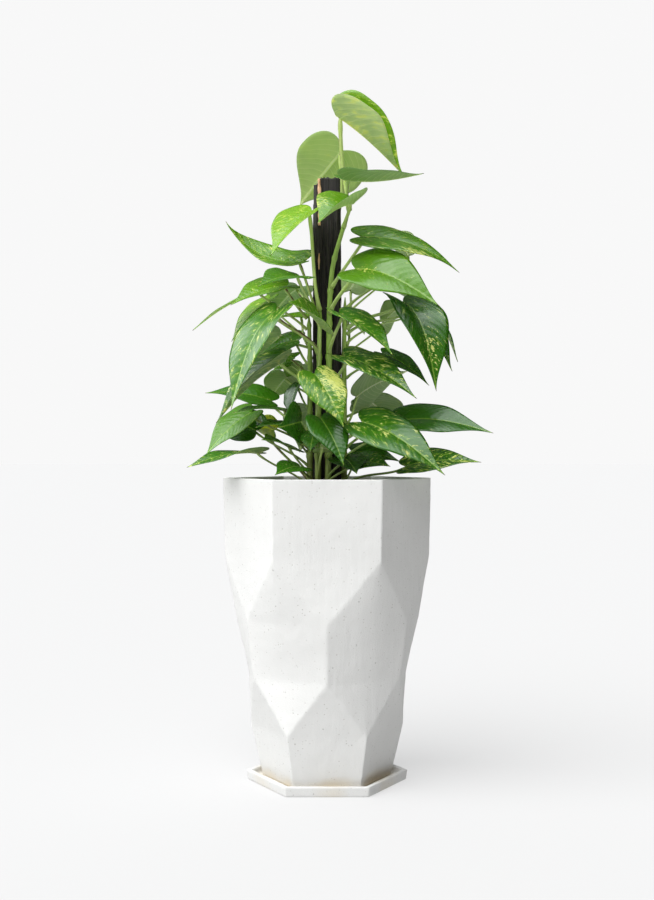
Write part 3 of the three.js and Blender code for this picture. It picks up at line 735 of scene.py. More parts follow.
# %% [markdown]
# ## Fibre post
#
# The post is sawn from the trunk of a tree fern: a mat of black, wiry roots that all run
# upwards, with planks of denser stuff between grooves and a broken top. A square bar would
# look like painted wood. So the body is a stack of rings whose points are pressed in along
# upright grooves, its top ends at uneven heights, and Geometry Nodes lay some hundreds of
# thin bristles along it, since bristles repeat.

# %% Post body
POST_SIDE_POINTS = 84
POST_ROW = 4.0
NOTCH_WIDTH, NOTCH_HEIGHT = 6, 7
WORN = 2.5


def post_outline(count):
    """Points round the post's worn rectangle, with even spacing."""
    x, y = POLE_WIDTH / 2, POLE_DEPTH / 2
    corners = np.array([
        (WORN - x, -y), (x - WORN, -y), (x, WORN - y), (x, y - WORN),
        (x - WORN, y), (WORN - x, y), (-x, y - WORN), (-x, WORN - y), (WORN - x, -y)])
    lengths = np.concatenate([[0], np.cumsum(np.linalg.norm(np.diff(corners, axis=0), axis=1))])
    at = np.arange(count) / count * lengths[-1]
    return np.stack([np.interp(at, lengths, corners[:, axis]) for axis in (0, 1)], 1)


def post_height(x, y):
    """How far up the broken top reaches at a place of the section."""
    ragged = 2.2 * noise.noise(Vector((x * 0.45, y * 0.45, 1.0))) - 2.2
    return POLE_TOP + ragged - (NOTCH_HEIGHT if x < NOTCH_WIDTH - POLE_WIDTH / 2 else 0)


outline = post_outline(POST_SIDE_POINTS)
post_heights = np.arange(POLE_FOOT, POLE_TOP + 0.1, POST_ROW)
post_rings = []
for height in post_heights:
    ring = []
    for k, (x, y) in enumerate(outline):
        coarse = noise.noise(Vector((x * 0.33, y * 0.33, height * 0.004)))
        fine = noise.noise(Vector((x * 1.6, y * 1.6, height * 0.02 + 7)))
        dent = 0.35 + 1.1 * max(0.0, coarse) + 0.55 * max(0.0, fine)
        share = 1 - dent / math.hypot(x, y)
        top = min(height, post_height(x, y) - (POLE_TOP - height) * 0.02)
        ring.append((x * share, y * share, top))
    post_rings.append(ring)
for inset in (0.82, 0.55, 0.25):
    post_rings.append([
        (x * inset, y * inset, post_height(x * inset, y * inset)) for x, y in outline])
post_ends = [(0, 0, POLE_FOOT), (0, 0, post_height(0, 0))]
print("post rings", len(post_rings), "of", POST_SIDE_POINTS, "points")


# %% Fibre finish
def fibre_material(name, dark, light):
    """Fine strands over broader planks, all drawn out upwards."""
    made, tree, shader, place = new_material(name)
    strands = speckle(tree, stretched(tree, place, (900, 900, 22)), 1.0, 4, 0.6)
    planks = speckle(tree, stretched(tree, place, (240, 240, 9)), 1.0, 2)
    mixed = strands.ramp(0.35, 0.75) * planks.ramp(0.3, 0.7, 0.35, 1.0)
    surface(tree, shader, mix(tree, mixed, dark, light), strands + planks * 0.8,
            0.9, 0.0011, strands.ramp(0.3, 0.7, 0.85, 0.55), 0.35)
    return made


fern_black = fibre_material("tree_fern_fibre", colour(20, 18, 17), colour(66, 62, 58))
post = new_piece("fibre_post", *closed_stack(post_rings, post_ends), fern_black)
hand_in(post, "support_pole")

# %% Torn strand
STRAND_STEPS = 24
STRAND_PLACE = -7.6    # beside the post's middle, on its front face

strand_tan = fibre_material("torn_fibre", colour(196, 150, 110), colour(240, 206, 168))
strand_swell = np.sin(np.linspace(0.25, 2.9, STRAND_STEPS))
for name, start, end, thickness, seed in (
        ("torn_strand_long", POLE_TOP - 50, POLE_TOP - 3, 2.1, 0),
        ("torn_strand_short", POLE_TOP - 94, POLE_TOP - 78, 1.0, 2)):
    heights = np.linspace(start, end, STRAND_STEPS)
    beside = STRAND_PLACE + 0.5 * np.sin(heights * 0.09 + seed)
    before = -POLE_DEPTH / 2 - 0.3 + 0.25 * np.sin(heights * 0.2 + seed)
    radii = thickness * (0.35 + 0.65 * strand_swell + 0.12 * np.sin(heights * 0.7))
    points, faces = tube(np.stack([beside, before, heights], 1), radii, 9, 0.3)
    hand_in(new_piece(name, points, faces, strand_tan), None)

# %% Bristles on the post
BRISTLE_LOW, BRISTLE_HIGH = SOIL_TOP, POLE_TOP - 40
LEAN = 0.03


def bristle_tree(material):
    """Thin strands with a slight swing, laid upright all over a surface."""
    tree, given = new_tree("bristles", {
        "Density": 16000.0, "Thickness": 0.35, "Shortest": 12.0, "Longest": 46.0, "Seed": 1})
    line = add_node(tree, "GeometryNodeCurvePrimitiveLine", {
        "Start": (0, 0, -0.5), "End": (0, 0, 0.5)})
    stepped = add_node(tree, "GeometryNodeResampleCurve", {"Curve": line.outputs[0], "Count": 7})
    along = number(tree, "GeometryNodeSplineParameter", output="Factor")
    swing = (along * 5.2).math("SINE")
    bent = add_node(tree, "GeometryNodeSetPosition", {
        "Geometry": stepped.outputs[0], "Offset": vector(tree, swing * 1.6, swing)})
    taper = (along * math.pi).math("SINE").math("POWER", 0.4).math("MAXIMUM", 0.15)
    section = add_node(tree, "GeometryNodeCurvePrimitiveCircle", {"Resolution": 3, "Radius": 1.0})
    strand = add_node(tree, "GeometryNodeCurveToMesh", {
        "Curve": bent.outputs[0], "Profile Curve": section.outputs[0],
        "Fill Caps": True, "Scale": taper})
    thick = Number(tree, given["Thickness"]) * MM
    long = random_between(tree, given, "Shortest", "Longest", 5) * MM
    return scatter(tree, given, strand, (-LEAN, -LEAN, 0), (LEAN, LEAN, 6.28), 9,
                   vector(tree, thick, thick, long), material)


bare_rings = [r for r, h in zip(post_rings, post_heights) if BRISTLE_LOW < h < BRISTLE_HIGH]
bristle_dark = fibre_material("bristle_fibre", colour(26, 23, 21), colour(84, 76, 68))
bristles = grow("post_bristles", skin_mesh("post_sides", bare_rings), bristle_tree(bristle_dark), {
    "Density": 26000.0, "Thickness": 0.33, "Shortest": 12.0, "Longest": 44.0, "Seed": 4})
hand_in(bristles, None)

# %% [markdown]
# ## Vines
#
# A pothos climbs by its stem, as thick as a pencil, with a ring at each node where a leaf
# once sat. The routes repeat the solid model's points, through which a smooth curve passes.
# Since the swellings follow a rule along a path, Geometry Nodes draw the stem: the path is
# cut into even steps, and its radius swells wherever the length comes near a whole number of
# node spacings.

# %% Vine routes
ON_FACE = POLE_DEPTH / 2 + FIT_GAP + VINE_RADIUS
ON_SIDE = POLE_WIDTH / 2 + FIT_GAP + VINE_RADIUS
VINES = {
    "front_left": ((0, -1), [
        (-9, -ON_FACE, 0), (-9, -ON_FACE, 50), (-8, -ON_FACE, 100), (-7.5, -ON_FACE, 140),
        (-6.5, -ON_FACE - 1, 172)]),
    "front_right": ((0, -1), [
        (1, -ON_FACE, 0), (2, -ON_FACE, 60), (2, -ON_FACE, 130), (3, -ON_FACE, 180),
        (6, -ON_FACE - 2, 212), (15, -ON_FACE - 4, 245), (24, -ON_FACE - 4, 272)]),
    "left": ((-1, 0), [
        (-ON_SIDE, -3, 0), (-ON_SIDE, -4, 60), (-ON_SIDE, -3, 120), (-ON_SIDE - 1, -5, 165)]),
    "right": ((1, 0), [
        (ON_SIDE, 0, 0), (ON_SIDE, -2, 60), (ON_SIDE, -1, 130), (ON_SIDE + 1, -3, 182)]),
    "back": ((0, 1), [
        (-2, ON_FACE, 0), (0, ON_FACE, 80), (2, ON_FACE, 160), (5, ON_FACE, 230),
        (8, ON_FACE + 1, 268)]),
}


def smooth_path(points, steps):
    """A curve through points, with each stretch timed by the root of its length."""
    points = [np.asarray(p, float) for p in points]
    points = [2 * points[0] - points[1], *points, 2 * points[-1] - points[-2]]
    path = []
    for p0, p1, p2, p3 in zip(points, points[1:], points[2:], points[3:]):
        d0, d1, d2 = (math.sqrt(np.linalg.norm(b - a)) for a, b in ((p0, p1), (p1, p2), (p2, p3)))
        leave = ((p1 - p0) / d0 - (p2 - p0) / (d0 + d1) + (p2 - p1) / d1) * d1
        reach = ((p2 - p1) / d1 - (p3 - p1) / (d1 + d2) + (p3 - p2) / d2) * d1
        for share in np.arange(steps) / steps:
            path.append(
                p1 + leave * share + (3 * (p2 - p1) - 2 * leave - reach) * share**2
                + (2 * (p1 - p2) + leave + reach) * share**3)
    path.append(points[-2])
    return np.array(path)


def vine_path(name):
    route = [(x, y, RIM + above) for x, y, above in VINES[name][1]]
    foot = (route[0][0], route[0][1], SOIL_TOP - VINE_IN_SOIL)
    return smooth_path([foot, *route], 40)


vine_paths = {name: vine_path(name) for name in VINES}
print({name: round(float(path[-1][2]), 1) for name, path in vine_paths.items()})

# %% Vine material
NODE_REACH = 0.0026    # metres from a node to where its swelling has nearly gone


def stem_material(name, green, brown, low, high):
    """Green above, corky brown below, between two heights in metres."""
    made, tree, shader, place = new_material(name)
    streaks = speckle(tree, stretched(tree, place, (420, 420, 60)), 1.0, 3)
    age = (split(tree, place)[2] + streaks * 0.06).ramp(low, high)
    fresh = mix(tree, streaks.ramp(0.35, 0.7), green, shade(green, 1.45))
    surface(tree, shader, mix(tree, age, brown, fresh), streaks,
            0.6, 0.0006, streaks.ramp(0.3, 0.7, 0.6, 0.42))
    return made


print("node swellings reach", NODE_REACH)

# %% Vine tree
vine_tree, given = new_tree("vine_stem", {
    "Radius": 3.1, "Node Spacing": 33.0, "Node Swelling": 0.32, "Step": 1.6})
radius, spacing, step = (
    Number(vine_tree, given[name]) * MM for name in ("Radius", "Node Spacing", "Step"))
route = add_node(vine_tree, "GeometryNodeMeshToCurve", {0: given["Geometry"]})
even = add_node(vine_tree, "GeometryNodeResampleCurve", {
    "Curve": route.outputs[0], "Length": step}, mode="LENGTH")
travelled = number(vine_tree, "GeometryNodeSplineParameter", output="Length")
share = number(vine_tree, "GeometryNodeSplineParameter", output="Factor")
from_node = travelled.math("PINGPONG", spacing * 0.5)
nearness = (from_node.math("DIVIDE", NODE_REACH).math("POWER", 2.0) * -1).math("EXPONENT")
thinner = share.ramp(0.5, 1.0, 1.0, 0.6) * share.ramp(0.955, 1.0, 1.0, 0.25)
section = add_node(vine_tree, "GeometryNodeCurvePrimitiveCircle", {
    "Resolution": 16, "Radius": radius})
stem_skin = add_node(vine_tree, "GeometryNodeCurveToMesh", {
    "Curve": even.outputs[0], "Profile Curve": section.outputs[0], "Fill Caps": True,
    "Scale": thinner * (nearness * given["Node Swelling"] + 1.0)})
end_tree(vine_tree, stem_skin.outputs[0], stem_material(
    "vine_bark", colour(140, 170, 78), colour(116, 110, 66), 0.27, 0.42))

for name, path in vine_paths.items():
    line = bpy.data.meshes.new("vine_line")
    line.from_pydata((path * MM).tolist(), [(k, k + 1) for k in range(len(path) - 1)], [])
    stem = grow("stem_" + name, line, vine_tree, {
        "Radius": 3.1, "Node Spacing": 33.0, "Node Swelling": 0.3, "Step": 1.6})
    hand_in(stem, "vine_" + name)

# %% [markdown]
# ## Leaves
#
# A pothos leaf is a lopsided heart with a drawn-out tip, folded a little along its midrib,
# glossy above and pale below. It could be modelled once and copied, but no two leaves here
# hang alike. So one function draws a flat half leaf between two edge curves, wraps it round a
# midrib that bends in space, folds and curls the halves, and gives the sheet a thickness and a
# raised rib below. The rows of a table then say where each leaf is and how it hangs: its vine,
# the height of its node, the notch end and tip of its blade, its width and the way it faces.

# %% The shape of a blade
LOBE_EDGE = np.array([(0, 0), (-0.22, 0.42), (-0.12, 1), (0.25, 1)])
TIP_EDGE = np.array([(0.25, 1), (0.58, 1), (0.74, 0.16), (1, 0)])
LOBE_SHARE = 3 / 7
ROW_SLANT = 1.7
RIB_REACH = 0.36
CREASE = 2.5
LOBE_ROWS = 15
TIP_ROWS = 24
HALF_COLUMNS = 10
MIDRIB_THICKNESS = 1.0
MARGIN_THICKNESS = 0.4
RIB_RIDGE = 0.9
RIPPLE = 1.5           # height of the waves along the margin

row_share = np.concatenate([
    np.arange(LOBE_ROWS) / LOBE_ROWS * LOBE_SHARE,
    LOBE_SHARE + np.arange(TIP_ROWS + 1) / TIP_ROWS * (1 - LOBE_SHARE)])
edge = np.concatenate([
    bezier(LOBE_EDGE, np.arange(LOBE_ROWS) / LOBE_ROWS),
    bezier(TIP_EDGE, np.arange(TIP_ROWS + 1) / TIP_ROWS)])
column_share = (np.arange(HALF_COLUMNS + 1) / HALF_COLUMNS) ** 1.25
signed_column = np.concatenate([-column_share[:0:-1], column_share])
rib_share = row_share ** ROW_SLANT
FLAT_ALONG = rib_share[:, None] + (edge[:, :1] - rib_share[:, None]) * np.abs(signed_column)
FLAT_ACROSS = edge[:, 1:] * signed_column
print("rows", len(row_share), "columns", len(signed_column))


def turn_about(vectors, axis, angle):
    """Vectors turned about unit axes by angles in radians; each argument may hold many."""
    cosine, sine = np.cos(angle)[..., None], np.sin(angle)[..., None]
    along = np.sum(vectors * axis, axis=-1, keepdims=True)
    return vectors * cosine + np.cross(axis, vectors) * sine + axis * along * (1 - cosine)


def leaf_frame(leaf):
    base = np.array(leaf["base"], float) + [0, 0, RIM]
    tip = np.array(leaf["tip"], float) + [0, 0, RIM]
    length = np.linalg.norm(tip - base)
    chord = (tip - base) / length
    normal = np.array(leaf["faces"], float)
    normal = unit(normal - chord * np.dot(normal, chord))
    side = np.cross(chord, normal)
    start = turn_about(chord, side, np.radians(leaf["rise"]))
    end = turn_about(chord, side, -np.radians(leaf["droop"]))
    reach = length * RIB_REACH
    rib = (base, base + start * reach, tip - end * reach, tip)
    return {"base": base, "length": length, "side": side, "start": start, "rib": rib}


def blade_sheets(leaf, shape, seed):
    """The upper and the lower sheet of a blade, as grids of points."""
    share = np.clip(FLAT_ALONG, 0, 1)
    rib = bezier(shape["rib"], share.ravel()).reshape(*share.shape, 3)
    along = bezier_direction(shape["rib"], share.ravel()).reshape(*share.shape, 3)
    rib = rib + along * (np.minimum(FLAT_ALONG, 0) * shape["length"])[..., None]
    twist = np.radians(leaf["twist"]) * share
    side = turn_about(np.broadcast_to(shape["side"], along.shape), along, twist)
    normal = np.cross(side, along)
    half = leaf["width"] / 2
    out = np.abs(FLAT_ACROSS)
    crease = out * half / np.hypot(out * half, CREASE)
    fold = np.radians(leaf["fold"]) * crease
    curl = leaf["bend"] * out
    flat_x = half * np.sin(curl) / leaf["bend"]
    flat_z = half * (1 - np.cos(curl)) / leaf["bend"]
    hand = np.sign(FLAT_ACROSS)
    x = hand * (flat_x * np.cos(fold) - flat_z * np.sin(fold))
    z = flat_x * np.sin(fold) + flat_z * np.cos(fold)
    phase = seed * 2.4 + hand * 1.3
    wave = np.sin(FLAT_ALONG * (7.5 + 2 * math.sin(seed)) + phase) * 0.7
    wave = wave + np.sin(FLAT_ALONG * 17 + phase * 1.7) * 0.3
    z = z + RIPPLE * half / 25 * wave * out**1.5 * np.clip(1.15 - share, 0, 1)
    tilt = fold + curl
    middle = rib + side * x[..., None] + normal * z[..., None]
    upper = normal * np.cos(tilt)[..., None] - side * (hand * np.sin(tilt))[..., None]
    near_rib = np.exp(-(out * half / 1.5) ** 2) * np.clip(1.08 - share, 0, 1)
    thickness = MIDRIB_THICKNESS + (MARGIN_THICKNESS - MIDRIB_THICKNESS) * np.abs(signed_column)
    above = middle + upper * (thickness / 2 - 0.3 * near_rib)[..., None]
    below = middle - upper * (thickness / 2 + RIB_RIDGE * near_rib)[..., None]
    return above, below


# %% [markdown]
# ### From sheets to a closed leaf
#
# The two sheets share their outline: the rows at the notch and at the tip shrink to one point
# each, and a narrow strip joins the margins. The stalk is a tube that leaves the vine upwards,
# arches over and ends under the notch, thicker in its sheath and at the knee below the blade.
# A UV map keeps where each point lies on the leaf, across and along, for the veins and the
# yellow marks, and a colour attribute keeps what is special to this leaf: its age, how strongly
# it is marked and a number that shifts its pattern.

# %% Leaf builder
STALK_OVERLAP = 4
STALK_REACH = 0.35
STALK_ARCH = 0.35
STALK_RINGS = 26
STALK_SIDES = 10
ROWS, WIDE = FLAT_ALONG.shape


def blade_faces():
    """Faces of the upper sheet, the lower sheet and the strip that joins their margins."""
    upper, lower, strip = [], [], []

    def corner(sheet, row, column):
        # the notch row and the tip row are single points
        column = 0 if row in (0, ROWS - 1) else column
        return (sheet * ROWS + row) * WIDE + column

    def add(store, *places):
        corners = [corner(*place) for place in places]
        kept = [c for i, c in enumerate(corners) if c != corners[i - 1]]
        if len(kept) > 2:
            store.append(tuple(kept))

    for row in range(ROWS - 1):
        for j in range(WIDE - 1):
            add(upper, (0, row, j), (0, row, j + 1), (0, row + 1, j + 1), (0, row + 1, j))
            add(lower, (1, row, j), (1, row + 1, j), (1, row + 1, j + 1), (1, row, j + 1))
        end = WIDE - 1
        add(strip, (0, row, 0), (0, row + 1, 0), (1, row + 1, 0), (1, row, 0))
        add(strip, (0, row, end), (1, row, end), (1, row + 1, end), (0, row + 1, end))
    return upper, lower, strip


def stalk_path(leaf, shape):
    path = vine_paths[leaf["vine"]]
    node = path[np.argmin(np.abs(path[:, 2] - (RIM + leaf["from"])))]
    facing = np.array([*VINES[leaf["vine"]][0], 0.0])
    base = shape["base"]
    sideways = unit((base - node) * [1, 1, 0])
    away = unit([*leaf["away"], 0]) if leaf["away"] else unit(sideways + facing)
    start = node + away * (VINE_RADIUS - 1.2)
    reach = np.linalg.norm(base - start)
    leave = unit(away + [0, 0, 1])
    arrive = unit(unit(base - start) + [0, 0, STALK_ARCH])
    points = (start, start + leave * reach * STALK_REACH,
              base - arrive * reach * STALK_REACH, base + shape["start"] * STALK_OVERLAP)
    return bezier(points, np.linspace(0, 1, STALK_RINGS))


def keep_look(mesh, name, values):
    """Stores three numbers of the leaf in a colour attribute, the same at every point."""
    store = mesh.attributes.new(name, "FLOAT_COLOR", "POINT")
    store.data.foreach_set("color", np.tile([*values, 1.0], len(mesh.vertices)))


def build_leaf(name, node, leaf, seed, finishes):
    shape = leaf_frame(leaf)
    above, below = blade_sheets(leaf, shape, seed)
    blade = np.concatenate([above.reshape(-1, 3), below.reshape(-1, 3)])
    upper, lower, strip = blade_faces()
    share = np.linspace(0, 1, STALK_RINGS)
    sheath = 0.45 * np.exp(-(share / 0.12) ** 2)
    knee = 0.28 * np.exp(-((share - 0.9) / 0.05) ** 2)
    radii = np.clip(STALK_RADIUS * leaf["width"] / 48, 1.2, 2.0) * (1 + sheath + knee)
    radii[-1] *= 0.6
    stalk_points, stalk_faces = tube(stalk_path(leaf, shape), radii, STALK_SIDES, 0.35)
    stalk = [tuple(v + len(blade) for v in face) for face in stalk_faces]
    made = new_piece(name, np.concatenate([blade, stalk_points]), upper + strip + lower + stalk,
                     finishes[0])
    mesh = made.data
    for finish in finishes[1:]:
        mesh.materials.append(finish)
    kinds = [0] * (len(upper) + len(strip)) + [1] * len(lower) + [2] * len(stalk)
    mesh.polygons.foreach_set("material_index", kinds)
    across, along = np.tile(FLAT_ACROSS.ravel(), 2), np.tile(FLAT_ALONG.ravel(), 2)
    turns = np.tile(np.arange(STALK_SIDES) / STALK_SIDES, STALK_RINGS)
    u = np.concatenate([(across + 1) / 2, turns, [0.5, 0.5]])
    v = np.concatenate([(along + 0.2) / 1.2, np.repeat(share, STALK_SIDES), [0, 1]])
    corners = np.zeros(len(mesh.loops), int)
    mesh.loops.foreach_get("vertex_index", corners)
    uv_map = mesh.uv_layers.new(name="leaf_uv")
    uv_map.data.foreach_set("uv", np.stack([u, v], 1)[corners].ravel())
    keep_look(mesh, "leaf_look", (*leaf["look"], (seed * 0.618) % 1))
    keep_look(mesh, "leaf_patch", leaf["patch"])
    mesh.validate()
    mesh.update()
    # the notch and tip rows use one point each, and their other points go
    work = bmesh.new()
    work.from_mesh(mesh)
    loose = [point for point in work.verts if not point.link_faces]
    bmesh.ops.delete(work, geom=loose, context="VERTS")
    work.to_mesh(mesh)
    work.free()
    hand_in(made, node)


print("blade faces", sum(map(len, blade_faces())))

# %% [markdown]
# ### Leaf finish
#
# The blade's green darkens with age. The yellow and cream marks follow the side veins, so
# their noise is stretched along lines that leave the midrib and sweep towards the tip, and each
# leaf's own number moves the pattern. Light comes through a leaf as well: a Translucent
# shader under the glossy one gives the glow of a leaf against the light. The underside is the
# same leaf seen through its pale lower skin, with raised veins and hardly any gloss.

# %% Leaf colours
YELLOW = colour(206, 216, 84)
CREAM = colour(218, 220, 140)
DRY_TIP = colour(104, 74, 40)
VEIN_COUNT = 11.0
PATTERN_STEP = 40.0    # how far apart two leaves' patterns lie in the noise
# How each side of a leaf looks: its greens by age, the veins, how strong the lines and marks
# are, and how much light comes through it, and in which tint.
UPPER_SIDE = {
    "young": colour(134, 180, 34), "grown": colour(62, 120, 20), "old": colour(26, 72, 16),
    "vein": colour(150, 184, 84), "side_veins": 0.12, "lines": 0.55, "clouds": 0.35,
    "marks": 0.88, "mark_veil": 0.0, "cushions": 1.0, "roughness": (0.2, 0.34), "gloss": 0.5,
    "through": 0.22, "glow": (1.9, 2.0, 0.8, 1)}
UNDERSIDE = {
    "young": colour(208, 218, 168), "grown": colour(172, 192, 134), "old": colour(138, 164, 106),
    "vein": colour(246, 248, 222), "side_veins": 0.45, "lines": 0.85, "clouds": 0.2,
    "marks": 0.6, "mark_veil": 0.45, "cushions": -1.0, "roughness": (0.3, 0.46), "gloss": 0.35,
    "through": 0.5, "glow": (2.3, 1.9, 1.9, 1)}
print("values for each side of a leaf", len(UPPER_SIDE), len(UNDERSIDE))

# %% Leaf materials
def leaf_uv(tree):
    return split(tree, add_node(tree, "ShaderNodeUVMap", uv_map="leaf_uv").outputs[0])


def kept_look(tree, name):
    """The three numbers that a leaf keeps in a colour attribute."""
    kept = add_node(tree, "ShaderNodeAttribute", attribute_name=name).outputs["Color"]
    return split(tree, kept, "ShaderNodeSeparateColor")


def leaf_material(name, side):
    made, tree, shader, place = new_material(name)
    u, v, _ = leaf_uv(tree)
    across, along = u * 2 - 1, v * 1.2 - 0.2
    out = across.math("ABSOLUTE")
    age, marked, own = kept_look(tree, "leaf_look")
    patch_across, patch_along, patch_size = kept_look(tree, "leaf_patch")
    # where the side vein through a point leaves the midrib; all marks are drawn out along it
    root = along - out.math("POWER", 1.7) * 0.36
    pattern = own * PATTERN_STEP
    half = across.math("SIGN") + pattern
    streaks = speckle(tree, vector(tree, root * 17, out * 4, half), 1.0, 3, 0.62, 0.35)
    flecks = speckle(tree, vector(tree, root * 46, out * 10, half), 1.0, 2, 0.6)
    cloud = speckle(tree, vector(tree, across, along * 2, pattern), 2.2, 2)
    # streaks show above a limit that falls as the leaf is more marked, flecks round them
    excess = streaks - (marked * -0.27 + 0.75)
    near = ((excess + 0.12) * 8).held()
    fleck = ((flecks - 0.56) * 14).held() * near
    gap_x, gap_y = across - patch_across, (along - patch_along) * 1.3
    inside = patch_size - (gap_x * gap_x + gap_y * gap_y).math("SQRT")
    inside = inside + flecks * 1.6 + streaks - 1.3
    blot = (inside * 12).held() * patch_size.math("GREATER_THAN", 0.01)
    mark = (excess * 16).held().math("MAXIMUM", fleck).math("MAXIMUM", blot)
    green = mix(tree, (age * 2).held(), side["young"], side["grown"])
    green = mix(tree, (age * 2 - 1).held(), green, side["old"])
    green = mix(tree, cloud.ramp(0.3, 0.7, 0.0, side["clouds"]), green,
                (0.5, 0.68, 0.45, 1), "MULTIPLY")
    green = mix(tree, near * marked * 0.7, green, side["young"])
    # a thin line at every step of root, and the midrib
    from_vein = (cloud * 0.06 + root).math("PINGPONG", 0.5 / VEIN_COUNT)
    vein = from_vein.ramp(0.0, 0.0065, 1.0, 0.0) * out.ramp(0.75, 1.0, 1.0, 0.2)
    lines = out.ramp(0.012, 0.045, 1.0, 0.0).math("MAXIMUM", vein * side["side_veins"])
    skin = mix(tree, lines * side["lines"], green, side["vein"])
    bright = mix(tree, (streaks + age).ramp(0.5, 1.2), YELLOW, CREAM)
    bright = mix(tree, side["mark_veil"], bright, side["grown"])
    skin = mix(tree, mark * side["marks"], skin, bright)
    skin = mix(tree, along.ramp(0.975, 0.992), skin, DRY_TIP)
    # veins lie sunk above and raised below, with cushions between them
    cushions = from_vein * (VEIN_COUNT * 0.3 * side["cushions"])
    relief = cushions + speckle(tree, place, 1400, 2) * 0.1 + cloud * 0.8
    bump = surface(tree, shader, skin, relief, 0.65, 0.0014,
                   cloud.ramp(0.3, 0.7, *side["roughness"]), side["gloss"])
    through = add_node(tree, "ShaderNodeBsdfTranslucent", {
        "Color": mix(tree, 1.0, skin, side["glow"], "MULTIPLY"), "Normal": bump})
    both = add_node(tree, "ShaderNodeMixShader", {
        0: side["through"], 1: shader.outputs[0], 2: through.outputs[0]})
    end = next(node for node in tree.nodes if node.type == "OUTPUT_MATERIAL")
    plug(tree, end, {0: both.outputs[0]})
    return made


def stalk_material(name):
    """Yellow green, with a reddish line along the groove of some stalks."""
    made, tree, shader, place = new_material(name)
    turn = leaf_uv(tree)[0]
    age, _, own = kept_look(tree, "leaf_look")
    mottle = speckle(tree, place, 160, 3)
    green = mix(tree, age, colour(184, 208, 112), colour(136, 168, 82))
    green = mix(tree, mottle.ramp(0.35, 0.7, 0.0, 0.4), green, colour(206, 222, 150))
    groove = (turn - 0.25).math("ABSOLUTE").ramp(0.05, 0.16, 1.0, 0.0)
    reddish = groove * own.ramp(0.45, 0.75) * mottle.ramp(0.3, 0.55)
    surface(tree, shader, mix(tree, reddish, green, colour(92, 62, 40)), mottle,
            0.4, 0.0004, mottle.ramp(0.3, 0.7, 0.34, 0.5))
    return made


leaf_finishes = (leaf_material("leaf_upper", UPPER_SIDE),
                 leaf_material("leaf_underside", UNDERSIDE), stalk_material("leaf_stalk"))
print("leaf finishes", [finish.name for finish in leaf_finishes])

# %% [markdown]
# ### The leaves in place
#
# Each row is one leaf. Heights are above the rim. Look gives its age and how strongly it is
# marked, from 0 to 1, and patch the middle, across and along, and the size of a large cream
# blot. The first list repeats the solid model's leaves, a few of them with a width or a roll
# that suits the finer blade, and stands for them. The second holds small leaves that only show
# here.

# %% Leaf table
def leaf(vine, node_height, base, tip, width, faces, look, patch=(0, 0, 0),
         fold=15, rise=15, droop=10, twist=0, bend=-0.35, away=None):
    """One row of the table; the usual leaf folds, rises and droops a little."""
    return {"vine": vine, "from": node_height, "base": base, "tip": tip, "width": width,
            "faces": faces, "look": look, "patch": patch, "fold": fold, "rise": rise,
            "droop": droop, "twist": twist, "bend": bend, "away": away}


